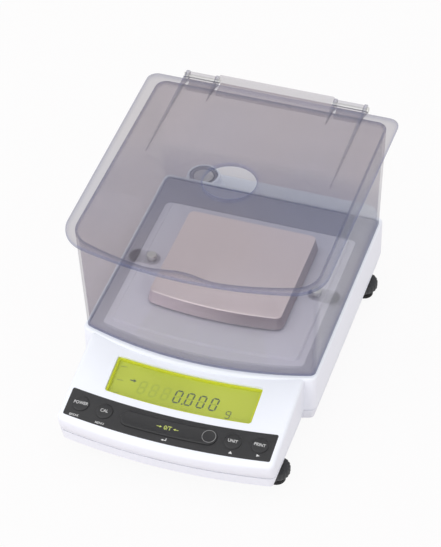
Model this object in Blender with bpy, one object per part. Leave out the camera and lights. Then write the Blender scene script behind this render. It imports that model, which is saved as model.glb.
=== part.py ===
"""Precision balance with a smoky draft shield, its lid hinged at the back.

Metres, +Z up. The table is Z = 0, the front of the console faces -Y, and the origin is
the centre of the footprint. The pan is loaded on the vertical axis at LOAD_Y.
"""
from dataclasses import dataclass, replace
from math import asin, atan2, cos, pi, radians, sin, sqrt, tan

import bmesh
import bpy
from mathutils import Matrix, Vector

# Driving sizes of the case
BODY_DEPTH = 0.317
BODY_WIDTH = 0.190
CONSOLE_WIDTH = 0.173
TAIL_WIDTH = 0.168
BODY_BOTTOM = 0.017
PARTING_HEIGHT = 0.029
DECK_HEIGHT = 0.063
TAIL_HEIGHT = 0.046
CASE_WALL = 0.0025
CONSOLE_WALL = 0.0040
CASE_EDGE = 0.0018
NOSE_EDGE = 0.0026
TOUCH_GAP = 0.0003
OVERRUN = 0.0040

# Console
CONSOLE_LENGTH = 0.077
CONSOLE_TILT = radians(12)
CONSOLE_PIVOT = 0.0394
CONSOLE_DROP = 0.0103
CONSOLE_TUCK = 0.0106
NOSE_BOW = 0.480
NOSE_CORNER = 0.005
NOSE_UNDERCUT = 0.003
FOOT_UNDERCUT = 0.004
FOOT_CHAMFER = 0.0018

# Deck, platform and tail
DECK_LEDGE = 0.0035
DECK_CORNER = 0.006
BACK_LEDGE = 0.0042
DECK_BOW = 0.300
PLATFORM_WIDTH = 0.153
PLATFORM_BOW = 0.490
PLATFORM_RISE = 0.0022
PLATFORM_SLOPE = 0.0010
PLATFORM_CORNER = 0.005
FRONT_MARGIN = 0.0200
BACK_MARGIN = 0.0318
TAIL_CORNER = 0.012
TAIL_OVERLAP = 0.010

# Draft shield
SHIELD_WIDTH = 0.1858
SHIELD_DEPTH = 0.2038
SHIELD_TOP_WIDTH = 0.1924
SHIELD_LEAN = 0.0162
SHIELD_BACK_LEAN = 0.0008
SHIELD_HEIGHT = 0.1022
SHIELD_WALL = 0.0020
SHIELD_CORNER = 0.005
SHIELD_TOP_BOW = 0.250
SHIELD_TOP_CORNER = 0.022
SHIELD_BACK_CORNER = 0.005
SHIELD_TOP_BACK_CORNER = 0.009
SCOOP_HALF_WIDTH = 0.030
SCOOP_DEPTH = 0.0045
SCOOP_FALL = 0.040
SCOOP_SHARES = (1, 0.66, 0.33, 0)
FRAME_THICKNESS = 0.0020
FRAME_INNER_WIDTH = 0.1634
FRAME_FRONT_BAND = 0.0089
FRAME_CLEARANCE = 0.0005

# Lid and hinge
LID_WIDTH = 0.210
LID_TAPER = 0.0028
LID_BOW = 0.345
LID_FRONT_OVERHANG = 0.0050
LID_BACK_OVERHANG = 0.0036
LID_THICKNESS = 0.0030
LID_EDGE = 0.0007
LID_CORNER = 0.028
LID_BACK_CORNER = 0.013
HOLE_DIAMETER = 0.0417
HOLE_OFFSET = 0.0050
EAR_RADIUS = 0.0045
EAR_THICKNESS = 0.0024
EAR_OUTER_X = 0.0745
EAR_INNER_X = 0.0495
HINGE_SETBACK = 0.0045
RIB_LONG = 0.0955
RIB_SHORT = 0.0225
KNUCKLE_RADIUS = 0.0038
KNUCKLE_WEB = 0.0050
PIN_RADIUS = 0.0015
PIN_HEAD_RADIUS = 0.0026
PIN_HEAD = 0.0012
RAIL_THICKNESS = 0.0030
RAIL_REACH = 0.0124
RAIL_CORNER = 0.003

# Pan
PAN_WIDTH = 0.108
PAN_DEPTH = 0.105
PAN_HEIGHT = 0.0782
PAN_SHEET = 0.0010
PAN_SKIRT = 0.0110
PAN_FLARE = 0.0020
PAN_EDGE = 0.0012
PAN_CORNER = 0.005
HUB_CLEARANCE = 0.00175
PAN_BOW = 0.310
LOAD_FROM_BACK = 0.1038
SUPPORT_RADIUS = 0.034
SUPPORT_PLATE = 0.0030
SUPPORT_HUB = 0.0080
SUPPORT_BORE = 0.0045
POST_RADIUS = 0.0055
POST_TIP = 0.0030
POST_HOLE = 0.0080

# Lock knobs
KNOB_X = 0.069
KNOB_RADIUS = 0.0042
KNOB_HEIGHT = 0.0050
KNOB_SHANK = 0.0015
KNOB_REACH = 0.0065
EAR_TAB_RADIUS = 0.0070

# Level
LEVEL_X = -0.066
LEVEL_FROM_BACK = 0.0195
LEVEL_HEIGHT = 0.058
LEVEL_RADIUS = 0.0138
LEVEL_FOOT_RADIUS = 0.0165
VIAL_RADIUS = 0.0088
VIAL_HEIGHT = 0.0070
LEVEL_LIP = 0.0010
RING_RADIUS = 0.0118
RING_HEIGHT = 0.0030

# Display, in the console's own plane
PANEL_BOW = 0.600
DISPLAY_WIDTH = 0.1174
DISPLAY_LOW = -0.0034
DISPLAY_HIGH = 0.0298
DISPLAY_CORNER = 0.0015
LEAST_CORNER = 0.0003
WINDOW_THICKNESS = 0.0014
WINDOW_SINK = 0.0002
BORDER_THICKNESS = 0.0012
GLASS_SINK = 0.0048
GLASS_THICKNESS = 0.0018
FRAME_RIM = 0.0030
BACKLIGHT_THICKNESS = 0.0020

# Keypad, in the console's own plane
KEYPAD_WIDTH = 0.1648
KEYPAD_LOW = -0.0344
KEYPAD_HIGH = -0.0100
KEYPAD_CORNER = 0.0015
KEYPAD_THICKNESS = 0.0015
KEYPAD_PROUD = 0.0002
KEY_ROW = -0.0212
KEY_RADIUS = 0.0068
KEY_PROUD = 0.0007
KEY_CROWN = 0.0005
KEY_CLEARANCE = 0.0003
KEY_FLANGE = 0.0012
KEY_FLANGE_THICKNESS = 0.0010
KEY_STEM_RADIUS = 0.0022
KEY_TRAVEL = 0.0008
KEY_STEM = 0.0018
KEY_PLACES = {"power_key": -0.0715, "calibrate_key": -0.0520, "unit_key": 0.0505, "print_key": 0.0714}
TARE_HALF_LENGTH = 0.0385
BOARD_THICKNESS = 0.0016
KEY_BOARD_WIDTH = 0.154
KEY_BOARD_DEPTH = 0.016
BOARD_POST_RADIUS = 0.0020
KEY_POST_X = 0.0616
KEY_POST_RADIUS = 0.0015
KEY_POST_SPREAD = 0.0050

# Feet
FRONT_FOOT_X = 0.0795
REAR_FOOT_X = 0.0875
FRONT_FOOT_FROM_NOSE = 0.038
REAR_FOOT_FROM_TAIL = 0.059
WHEEL_RADIUS = 0.012
WHEEL_THICKNESS = 0.0070
WHEEL_CLEARANCE = 0.0025
WHEEL_CHAMFER = 0.0010
KNURL_DEPTH = 0.0006
STUD_RADIUS = 0.0030
STUD_LENGTH = 0.0100
PAD_RADIUS = 0.0075
PAD_THICKNESS = 0.0036
PAD_CHAMFER = 0.0008
FOOT_BOSS_RADIUS = 0.0052
FOOT_BOSS_HEIGHT = 0.0110
THREAD_CLEARANCE = 0.0003

# Case screws
SCREW_X = 0.0790
SCREW_FRONT_FROM_LOAD = 0.068
SCREW_BACK_FROM_LOAD = 0.052
SCREW_RADIUS = 0.0015
SCREW_HEAD_RADIUS = 0.0028
SCREW_HEAD = 0.0022
SCREW_GRIP = 0.0080
SCREW_POST_RADIUS = 0.0045
SCREW_BOSS_RADIUS = 0.0042
SOCKET_RADIUS = 0.0012
SOCKET_DEPTH = 0.0012

# Force cell: block length along Y, necks are the thin flexures
CELL_LENGTH = 0.080
CELL_WIDTH = 0.036
CELL_HEIGHT = 0.034
CELL_STANDOFF = 0.0030
CELL_MOVING_END = 0.014
CELL_FOOT_LENGTH = 0.020
NECK = 0.0008
FLEXURE_RADIUS = 0.0030
SLOT_WIDTH = 0.0012
LEVER_THICKNESS = 0.0070
FULCRUM_RADIUS = 0.0022
CELL_BOLT_RADIUS = 0.0022
CELL_BOLT_X = 0.011
CELL_BOLT_FROM_END = 0.010

# Force motor
MAGNET_RADIUS = 0.017
MAGNET_HEIGHT = 0.0220
MAGNET_FROM_CELL = 0.0195
MAGNET_GROOVE_OUTER = 0.0120
MAGNET_GROOVE_INNER = 0.0072
MAGNET_GROOVE_DEPTH = 0.0120
COIL_OUTER = 0.0108
COIL_INNER = 0.0086
COIL_HEIGHT = 0.0110
ARM_THICKNESS = 0.0030
ARM_DEPTH = 0.0120
ARM_LENGTH = 0.0600

# Boards and sockets
MAIN_BOARD_WIDTH = 0.120
MAIN_BOARD_DEPTH = 0.046
MAIN_BOARD_FROM_NOSE = 0.016
MAIN_BOARD_STANDOFF = 0.0055
PORT_HEIGHT = 0.0375
PORT_X = -0.008
PORT_WIDTH = 0.031
PORT_TALL = 0.0110
PORT_SLANT = 0.0015
PORT_DEPTH = 0.0100
PORT_LIP = 0.0010
PORT_CORNER = 0.0015
PORT_SOCKET_DEPTH = 0.0060
POWER_X = 0.048
POWER_RADIUS = 0.0055
POWER_BORE = 0.0032
POWER_PIN = 0.0010
POWER_DEPTH = 0.0120
POWER_SOCKET_DEPTH = 0.0090

# Facets
FRONT_STEPS = 16
CORNER_STEPS = 4
ROUND_STEPS = 24
SMALL_STEPS = 12
KNURL_COUNT = 12

# Places worked out from the driving sizes
NOSE_Y = -BODY_DEPTH / 2
TAIL_Y = BODY_DEPTH / 2
SHIELD_FRONT = NOSE_Y + CONSOLE_LENGTH
SHIELD_BACK = SHIELD_FRONT + SHIELD_DEPTH
SHIELD_FOOT = DECK_HEIGHT + TOUCH_GAP
SHIELD_TOP = SHIELD_FOOT + SHIELD_HEIGHT
LOAD_Y = SHIELD_BACK - LOAD_FROM_BACK
CONSOLE_Y = NOSE_Y + CONSOLE_PIVOT
CONSOLE_Z = DECK_HEIGHT - CONSOLE_DROP
PLATFORM_TOP = DECK_HEIGHT + PLATFORM_RISE
LID_FOOT = SHIELD_TOP + TOUCH_GAP
LID_TOP = LID_FOOT + LID_THICKNESS
LID_BACK = SHIELD_BACK - SHIELD_BACK_LEAN + LID_BACK_OVERHANG
HINGE_Y = LID_BACK + HINGE_SETBACK
HINGE_Z = LID_TOP - LID_EDGE
FLOOR_TOP = BODY_BOTTOM + CASE_WALL
CELL_FRONT = LOAD_Y - CELL_MOVING_END
CELL_BACK = CELL_FRONT + CELL_LENGTH
CELL_BOTTOM = FLOOR_TOP + CELL_STANDOFF
CELL_TOP = CELL_BOTTOM + CELL_HEIGHT
LEVEL_Y = TAIL_Y - LEVEL_FROM_BACK


@dataclass(frozen=True)
class Plan:
    """A plan outline, bowed at the front (-Y) and straight at the sides and back."""

    half_width: float
    front: float
    back: float
    bow: float
    front_corner: float
    back_corner: float
    taper: float = 0.0

    def inset(self, distance):
        """The same outline moved inwards by a distance on every side."""
        return replace(
            self,
            half_width=self.half_width - distance,
            front=self.front + distance,
            back=self.back - distance,
            bow=self.bow - distance,
            front_corner=max(self.front_corner - distance, CASE_EDGE / 2),
            back_corner=max(self.back_corner - distance, CASE_EDGE / 2),
        )

    def blend(self, other, share):
        """The outline a share of the way to another one."""
        def mix(name):
            return getattr(self, name) * (1 - share) + getattr(other, name) * share
        return Plan(*(mix(name) for name in self.__dataclass_fields__))

    def points(self):
        """Counter-clockwise points, starting at the left end of the bowed front."""
        centre = self.front + self.bow
        reach = self.bow - self.front_corner
        side = self.half_width - self.front_corner
        drop = sqrt(reach ** 2 - side ** 2)
        turn = asin(side / reach)
        half = []
        for step in range(FRONT_STEPS // 2 + 1):
            angle = turn * 2 * step / FRONT_STEPS
            half.append((self.bow * sin(angle), centre - self.bow * cos(angle)))
        corner = self.front_corner
        for step in range(1, CORNER_STEPS + 1):
            angle = turn + (pi / 2 - turn) * step / CORNER_STEPS
            half.append((side + corner * sin(angle), centre - drop - corner * cos(angle)))
        corner = self.back_corner
        for step in range(CORNER_STEPS + 1):
            angle = pi / 2 * (1 + step / CORNER_STEPS)
            half.append((self.half_width - corner + corner * sin(angle),
                         self.back - corner - corner * cos(angle)))
        half = [(x * self.narrowing(y), y) for x, y in half]
        left = [(-x, y) for x, y in reversed(half[1:])]
        return half + left

    def narrowing(self, y):
        """Share of the full width at a place along Y: the outline narrows towards the front."""
        return 1 - self.taper / self.half_width * (self.back - y) / (self.back - self.front)


PARTING_BLOCK = Plan(BODY_WIDTH / 2, SHIELD_FRONT - DECK_LEDGE, SHIELD_BACK + BACK_LEDGE,
                     DECK_BOW, DECK_CORNER, DECK_CORNER)
PARTING_CONSOLE = Plan(CONSOLE_WIDTH / 2, NOSE_Y + NOSE_UNDERCUT, SHIELD_FRONT + CONSOLE_TUCK,
                       NOSE_BOW, NOSE_CORNER, CASE_EDGE)
PARTING_TAIL = Plan(TAIL_WIDTH / 2, SHIELD_BACK - TAIL_OVERLAP, TAIL_Y, NOSE_BOW, CASE_EDGE, TAIL_CORNER)
PLATFORM = Plan(PLATFORM_WIDTH / 2, SHIELD_FRONT + FRONT_MARGIN, SHIELD_BACK - BACK_MARGIN,
                PLATFORM_BOW, PLATFORM_CORNER, PLATFORM_CORNER)
FRAME_INNER = Plan(FRAME_INNER_WIDTH / 2, SHIELD_FRONT + FRAME_FRONT_BAND,
                   SHIELD_BACK - BACK_MARGIN + FRAME_CLEARANCE, DECK_BOW, PLATFORM_CORNER, PLATFORM_CORNER)
SHIELD_LOW = Plan(SHIELD_WIDTH / 2, SHIELD_FRONT, SHIELD_BACK, DECK_BOW, SHIELD_CORNER, SHIELD_BACK_CORNER)
SHIELD_HIGH = Plan(SHIELD_TOP_WIDTH / 2, SHIELD_FRONT - SHIELD_LEAN, SHIELD_BACK - SHIELD_BACK_LEAN,
                   SHIELD_TOP_BOW, SHIELD_TOP_CORNER, SHIELD_TOP_BACK_CORNER)
LID_PLAN = Plan(LID_WIDTH / 2, SHIELD_HIGH.front - LID_FRONT_OVERHANG, LID_BACK,
                LID_BOW, LID_CORNER, LID_BACK_CORNER, LID_TAPER)
PAN_PLAN = Plan(PAN_WIDTH / 2, LOAD_Y - PAN_DEPTH / 2, LOAD_Y + PAN_DEPTH / 2,
                PAN_BOW, PAN_CORNER, PAN_CORNER)


# Outlines

def circle(radius, centre=(0, 0), steps=SMALL_STEPS):
    """Points of a circle, counter-clockwise."""
    x, y = centre
    angles = [2 * pi * (i + 0.5) / steps for i in range(steps)]
    return [(x + radius * cos(a), y + radius * sin(a)) for a in angles]


def rectangle(left, low, right, high):
    """The four corners of an upright rectangle."""
    return [(left, low), (right, low), (right, high), (left, high)]


def rounded(points, radius, steps=3):
    """Rounds each real corner of an outline, and leaves the points of its curves alone."""
    result = []
    count = len(points)
    for i, (x, y) in enumerate(points):
        before = points[i - 1]
        after = points[(i + 1) % count]
        back = atan2(before[1] - y, before[0] - x)
        ahead = atan2(after[1] - y, after[0] - x)
        opening = (back - ahead) % (2 * pi)
        turn = pi - opening
        if turn < pi / 6:
            result.append((x, y))
            continue
        reach = radius / sin(opening / 2)
        middle = ahead + opening / 2
        centre = (x + reach * cos(middle), y + reach * sin(middle))
        for step in range(steps + 1):
            angle = back + pi / 2 + turn * step / steps
            result.append((centre[0] + radius * cos(angle), centre[1] + radius * sin(angle)))
    return result


def sagitta(x, bow):
    """How far an arc of radius bow has risen at a distance x from its middle."""
    return bow - sqrt(bow ** 2 - x ** 2)


def bowed_rectangle(half_width, low, high, corner, grow=0.0):
    """A rectangle in the console's plane whose long edges follow the bowed front."""
    half = half_width + grow
    steps = FRONT_STEPS // 2
    xs = [half * (2 * i / steps - 1) for i in range(steps + 1)]
    lower = [(x, low - grow + sagitta(x, PANEL_BOW)) for x in xs]
    upper = [(x, high + grow + sagitta(x, PANEL_BOW)) for x in reversed(xs)]
    return rounded(lower + upper, max(corner + grow, LEAST_CORNER))


def stroke(path, radius, steps=SMALL_STEPS // 2):
    """The outline of a round-ended stroke along an open path."""
    def heading(i):
        first = path[max(i - 1, 0)]
        last = path[min(i + 1, len(path) - 1)]
        return atan2(last[1] - first[1], last[0] - first[0])

    def beside(i, side):
        angle = heading(i) + side * pi / 2
        return path[i][0] + radius * cos(angle), path[i][1] + radius * sin(angle)

    def cap(i, start):
        angles = [heading(i) + start + pi * step / steps for step in range(1, steps)]
        return [(path[i][0] + radius * cos(a), path[i][1] + radius * sin(a)) for a in angles]

    last = len(path) - 1
    right = [beside(i, -1) for i in range(last + 1)]
    left = [beside(i, 1) for i in range(last, -1, -1)]
    return right + cap(last, -pi / 2) + left + cap(0, pi / 2)


def tare_path():
    """The middle line of the wide key, bent along the row of keys."""
    reach = TARE_HALF_LENGTH - KEY_RADIUS
    steps = FRONT_STEPS // 4
    xs = [reach * (2 * i / steps - 1) for i in range(steps + 1)]
    return [(x, KEY_ROW + sagitta(x, PANEL_BOW)) for x in xs]


# Meshes

def level(outline, height):
    """An outline set at one height, or at a height that is a function of Y."""
    if callable(height):
        return [(x, y, height(y)) for x, y in outline]
    return [(x, y, height) for x, y in outline]


def loft(rings, loop=False):
    """Skins rings of equal counts, capped at both ends or joined into a loop."""
    count = len(rings[0])
    vertices = [point for ring in rings for point in ring]
    pairs = [(i, i + 1) for i in range(len(rings) - 1)]
    if loop:
        pairs.append((len(rings) - 1, 0))
    faces = []
    for a, b in pairs:
        for i in range(count):
            j = (i + 1) % count
            faces.append((a * count + i, a * count + j, b * count + j, b * count + i))
    if not loop:
        faces.append(tuple(reversed(range(count))))
        faces.append(tuple(range((len(rings) - 1) * count, len(rings) * count)))
    return vertices, faces


def prism(outline, low, high):
    """An upright prism between two heights."""
    return loft([level(outline, low), level(outline, high)])


def side_prism(outline, left, right):
    """A prism along X whose outline is given in Y and Z, counter-clockwise seen from +X."""
    return loft([[(x, y, z) for y, z in outline] for x in (left, right)])


def back_prism(outline, front, back):
    """A prism along Y whose outline is given in X and Z, counter-clockwise seen from the front."""
    return loft([[(x, y, z) for x, z in outline] for y in (back, front)])


def turned(profile, centre=(0, 0), steps=ROUND_STEPS, knurled=()):
    """A turned solid: (radius, height) points run up its outside, and a radius of zero closes it.

    Every second facet corner of the knurled rows is drawn in by the knurl's depth.
    """
    vertices = []
    rows = []
    for index, (radius, height) in enumerate(profile):
        start = len(vertices)
        if radius == 0:
            vertices.append((centre[0], centre[1], height))
            rows.append([start] * steps)
            continue
        for i in range(steps):
            reach = radius - (KNURL_DEPTH if index in knurled and i % 2 else 0)
            angle = 2 * pi * i / steps
            vertices.append((centre[0] + reach * cos(angle), centre[1] + reach * sin(angle), height))
        rows.append(list(range(start, start + steps)))
    faces = []
    for low, high in zip(rows, rows[1:]):
        for i in range(steps):
            j = (i + 1) % steps
            face = [low[i], low[j], high[j], high[i]]
            faces.append(tuple(dict.fromkeys(face)))
    return vertices, faces


def ring_solid(profile, centre=(0, 0), steps=ROUND_STEPS):
    """A turned ring: its profile is a closed outline that doesn't reach the axis."""
    rings = []
    for radius, height in profile:
        rings.append(level(circle(radius, centre, steps), height))
    return loft(rings, loop=True)


def pooled(*solids):
    """Several separate solids in one mesh, as an operand of a cut or a union."""
    vertices = []
    faces = []
    for more_vertices, more_faces in solids:
        shift = len(vertices)
        vertices += more_vertices
        faces += [tuple(i + shift for i in face) for face in more_faces]
    return vertices, faces


def finish(name, colour, roughness, metallic=0.0, alpha=1.0):
    """A plain material with the piece's colour, sheen and metal."""
    material = bpy.data.materials.new(name)
    material.use_nodes = True
    shader = material.node_tree.nodes["Principled BSDF"]
    shader.inputs["Base Color"].default_value = (*colour, 1.0)
    shader.inputs["Roughness"].default_value = roughness
    shader.inputs["Metallic"].default_value = metallic
    shader.inputs["Alpha"].default_value = alpha
    return material


def add_solid(name, solid, material=None, parent=None):
    """Makes a solid an object, with its faces turned outwards."""
    mesh = bpy.data.meshes.new(name)
    mesh.from_pydata(*[solid[0], [], solid[1]])
    work = bmesh.new()
    work.from_mesh(mesh)
    bmesh.ops.recalc_face_normals(work, faces=work.faces)
    if work.calc_volume(signed=True) < 0:
        bmesh.ops.reverse_faces(work, faces=work.faces)
    work.to_mesh(mesh)
    work.free()
    thing = bpy.data.objects.new(name, mesh)
    bpy.context.collection.objects.link(thing)
    thing.parent = parent
    if material:
        mesh.materials.append(material)
        mesh.shade_smooth()
        mesh.set_sharp_from_angle(angle=radians(35))
    return thing


def set_origin(thing, place):
    """Puts a moving piece's origin on its joint's axis without moving its shape."""
    thing.data.transform(Matrix.Translation(-Vector(place)))
    thing.location = place


def combine(target, name, solid, operation, parent=None):
    """Joins a hidden solid to a piece, or cuts it out of the piece."""
    operand = add_solid(name, solid, parent=parent)
    operand.hide_render = True
    operand.display_type = "WIRE"
    modifier = target.modifiers.new(name, "BOOLEAN")
    modifier.operation = operation
    modifier.object = operand
    modifier.solver = "EXACT"


def cut(target, name, solid, parent=None):
    combine(target, name, solid, "DIFFERENCE", parent)


def join(target, name, solid, parent=None):
    combine(target, name, solid, "UNION", parent)


# Case

def console_height(y, sink=0.0):
    """Height of the console's top face at a place along Y."""
    return CONSOLE_Z + (y - CONSOLE_Y) * tan(CONSOLE_TILT) - sink / cos(CONSOLE_TILT)


def rounded_top(plan, edge, top):
    """Three rings that round the edge between the sides and a top face."""
    rings = []
    for angle in (0, pi / 4, pi / 2):
        drop = edge * (1 - sin(angle))
        outline = plan.inset(edge * (1 - cos(angle))).points()
        if callable(top):
            rings.append(level(outline, lambda y, drop=drop: top(y) - drop))
        else:
            rings.append(level(outline, top - drop))
    return rings


def block_solid():
    """The wide middle of the upper case with the low platform that carries the shield's frame."""
    low = level(PARTING_BLOCK.points(), PARTING_HEIGHT + TOUCH_GAP / 2)
    rings = [low] + rounded_top(PARTING_BLOCK, CASE_EDGE, DECK_HEIGHT)
    rings.append(level(PLATFORM.points(), DECK_HEIGHT))
    rings.append(level(PLATFORM.inset(PLATFORM_SLOPE).points(), PLATFORM_TOP))
    return loft(rings)


def console_solid():
    """The sloping console, its nose drawn back towards the parting line."""
    low = level(PARTING_CONSOLE.points(), PARTING_HEIGHT + TOUCH_GAP / 2)
    top_plan = replace(PARTING_CONSOLE, front=NOSE_Y)
    return loft([low] + rounded_top(top_plan, NOSE_EDGE, console_height))


def tail_solid():
    """The lower tail behind the shield."""
    low = level(PARTING_TAIL.points(), PARTING_HEIGHT + TOUCH_GAP / 2)
    return loft([low] + rounded_top(PARTING_TAIL, CASE_EDGE, TAIL_HEIGHT))


def tower_solid():
    """The flared housing of the level."""
    low = TAIL_HEIGHT - CASE_WALL / 2
    profile = [(0, low), (LEVEL_FOOT_RADIUS, low), (LEVEL_RADIUS, LEVEL_HEIGHT - CASE_EDGE),
               (LEVEL_RADIUS - CASE_EDGE / 2, LEVEL_HEIGHT), (0, LEVEL_HEIGHT)]
    return turned(profile, (LEVEL_X, LEVEL_Y))


def upper_cavities():
    """What is hollow inside the upper case, one solid for each part of it."""
    below = PARTING_HEIGHT - OVERRUN
    block = PARTING_BLOCK.inset(CASE_WALL)
    tail = replace(PARTING_TAIL.inset(CASE_WALL), front=PARTING_TAIL.front)
    console = replace(PARTING_CONSOLE.inset(CONSOLE_WALL), back=PARTING_CONSOLE.back + CASE_EDGE)
    over_block = prism(block.points(), below, DECK_HEIGHT - CASE_WALL)
    over_tail = prism(tail.points(), below, TAIL_HEIGHT - CASE_WALL)
    over_console = loft([level(console.points(), below),
                         level(console.points(), lambda y: console_height(y, CONSOLE_WALL))])
    return over_block, over_console, over_tail


def screw_places():
    """The four places where screws hold the case together."""
    ys = (LOAD_Y - SCREW_FRONT_FROM_LOAD, LOAD_Y + SCREW_BACK_FROM_LOAD)
    return [(x, y) for y in ys for x in (-SCREW_X, SCREW_X)]


def foot_places():
    """Name and place of the four feet."""
    front = NOSE_Y + FRONT_FOOT_FROM_NOSE
    back = TAIL_Y - REAR_FOOT_FROM_TAIL
    return {
        "front_left": (-FRONT_FOOT_X, front), "front_right": (FRONT_FOOT_X, front),
        "rear_left": (-REAR_FOOT_X, back), "rear_right": (REAR_FOOT_X, back),
    }


def ear_tab(radius):
    """The round-ended ear that carries a lock knob, seen from above, on the right side."""
    return stroke([(KNOB_X, LOAD_Y), (FRAME_INNER_WIDTH / 2, LOAD_Y)], radius)


def mirrored(outline):
    """The outline on the other side of the middle plane."""
    return [(-x, y) for x, y in reversed(outline)]


def key_outlines(clearance):
    """Outlines of the round keys and the wide key, each grown by a clearance."""
    outlines = {}
    for name, x in KEY_PLACES.items():
        centre = (x, KEY_ROW + sagitta(x, PANEL_BOW))
        outlines[name] = circle(KEY_RADIUS + clearance, centre, ROUND_STEPS)
    outlines["tare_key"] = stroke(tare_path(), KEY_RADIUS + clearance)
    return outlines


def display_outline(grow=0.0):
    return bowed_rectangle(DISPLAY_WIDTH / 2, DISPLAY_LOW, DISPLAY_HIGH, DISPLAY_CORNER, grow)


def keypad_outline(grow=0.0):
    return bowed_rectangle(KEYPAD_WIDTH / 2, KEYPAD_LOW, KEYPAD_HIGH, KEYPAD_CORNER, grow)


def port_outline(grow=0.0):
    """The slanted outline of the serial port, in X and Z."""
    half = PORT_WIDTH / 2 + grow
    tall = PORT_TALL / 2 + grow
    slanted = half - PORT_SLANT
    corners = [(-slanted, -tall), (slanted, -tall), (half, tall), (-half, tall)]
    return rounded([(PORT_X + x, PORT_HEIGHT + z) for x, z in corners], PORT_CORNER)


def build_upper_case(white, console):
    """The white upper case with every opening in it."""
    case = add_solid("upper_case", block_solid(), white)
    join(case, "console_form", console_solid())
    join(case, "tail_form", tail_solid())
    join(case, "tower_form", tower_solid())
    for name, solid in zip(("block_hollow", "console_hollow", "tail_hollow"), upper_cavities()):
        cut(case, name, solid)

    bosses = []
    for place in screw_places():
        low = PARTING_HEIGHT + TOUCH_GAP
        bosses.append(prism(circle(SCREW_BOSS_RADIUS, place), low, DECK_HEIGHT - CASE_WALL / 2))
    join(case, "case_bosses", pooled(*bosses))
    join(case, "key_board_posts", pooled(*key_board_posts()), parent=console)

    cut(case, "console_openings", pooled(
        prism(display_outline(), -CONSOLE_WALL - OVERRUN, OVERRUN),
        *(prism(outline, -CONSOLE_WALL - OVERRUN, OVERRUN)
          for outline in key_outlines(KEY_CLEARANCE * 2).values()),
    ), parent=console)
    recess = KEYPAD_THICKNESS - KEYPAD_PROUD + TOUCH_GAP
    cut(case, "keypad_recess", prism(keypad_outline(TOUCH_GAP), -recess, OVERRUN), parent=console)

    tab = ear_tab(EAR_TAB_RADIUS + FRAME_CLEARANCE)
    cut(case, "ear_notches", pooled(*(prism(side, DECK_HEIGHT, DECK_HEIGHT + OVERRUN)
                                      for side in (tab, mirrored(tab)))))
    deep = DECK_HEIGHT - CASE_WALL - OVERRUN
    cut(case, "post_hole", prism(circle(POST_HOLE, (0, LOAD_Y), ROUND_STEPS), deep, DECK_HEIGHT + OVERRUN))
    cut(case, "knob_holes", pooled(*(
        prism(circle(KNOB_SHANK + THREAD_CLEARANCE, (x, LOAD_Y)), deep, DECK_HEIGHT + OVERRUN)
        for x in (-KNOB_X, KNOB_X))))
    cut(case, "screw_bores", pooled(*(
        prism(circle(SCREW_RADIUS + THREAD_CLEARANCE, place), PARTING_HEIGHT - OVERRUN,
              PARTING_HEIGHT + SCREW_GRIP + OVERRUN / 2) for place in screw_places())))
    cut(case, "level_seat", prism(circle(RING_RADIUS + TOUCH_GAP, (LEVEL_X, LEVEL_Y), ROUND_STEPS),
                                  LEVEL_HEIGHT - LEVEL_LIP - VIAL_HEIGHT - TOUCH_GAP, LEVEL_HEIGHT + OVERRUN))
    inside = TAIL_Y - CASE_WALL - OVERRUN
    cut(case, "rear_openings", pooled(
        back_prism(port_outline(TOUCH_GAP), inside, TAIL_Y + OVERRUN),
        back_prism(circle(POWER_RADIUS + TOUCH_GAP, (POWER_X, PORT_HEIGHT), ROUND_STEPS),
                   inside, TAIL_Y + OVERRUN),
    ))
    return case


def tray_solid(plan):
    """A part of the lower case, drawn in towards the table."""
    return loft([
        level(plan.inset(FOOT_UNDERCUT).points(), BODY_BOTTOM),
        level(plan.inset(FOOT_UNDERCUT / 2).points(), BODY_BOTTOM + FOOT_CHAMFER),
        level(plan.points(), PARTING_HEIGHT - TOUCH_GAP / 2),
    ])


def tray_hollow(plan, keep):
    """The hollow of a part of the lower case, its outline kept open towards its neighbour."""
    low = keep(plan.inset(FOOT_UNDERCUT + CASE_WALL))
    high = keep(plan.inset(CASE_WALL))
    return loft([level(low.points(), FLOOR_TOP), level(high.points(), PARTING_HEIGHT),
                 level(high.points(), PARTING_HEIGHT + OVERRUN)])


def main_board_posts():
    """Places of the four posts under the main board."""
    x = MAIN_BOARD_WIDTH / 2 - BOARD_POST_RADIUS * 2
    front = NOSE_Y + MAIN_BOARD_FROM_NOSE
    ys = (front + BOARD_POST_RADIUS * 2, front + MAIN_BOARD_DEPTH - BOARD_POST_RADIUS * 2)
    return [(side * x, y) for side in (-1, 1) for y in ys]


def lower_bosses():
    """Bosses that stand on the floor of the lower case."""
    low = BODY_BOTTOM + CASE_WALL / 2
    bosses = [prism(circle(FOOT_BOSS_RADIUS, place), low, BODY_BOTTOM + FOOT_BOSS_HEIGHT)
              for place in foot_places().values()]
    bosses += [prism(circle(SCREW_POST_RADIUS, place), low, PARTING_HEIGHT - TOUCH_GAP / 2)
               for place in screw_places()]
    bosses += [prism(circle(BOARD_POST_RADIUS, place, SMALL_STEPS), low, FLOOR_TOP + MAIN_BOARD_STANDOFF)
               for place in main_board_posts()]
    half = CELL_WIDTH / 2
    bosses.append(prism(rectangle(-half, CELL_BACK - CELL_FOOT_LENGTH, half, CELL_BACK),
                        low, CELL_BOTTOM - TOUCH_GAP))
    return bosses


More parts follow.
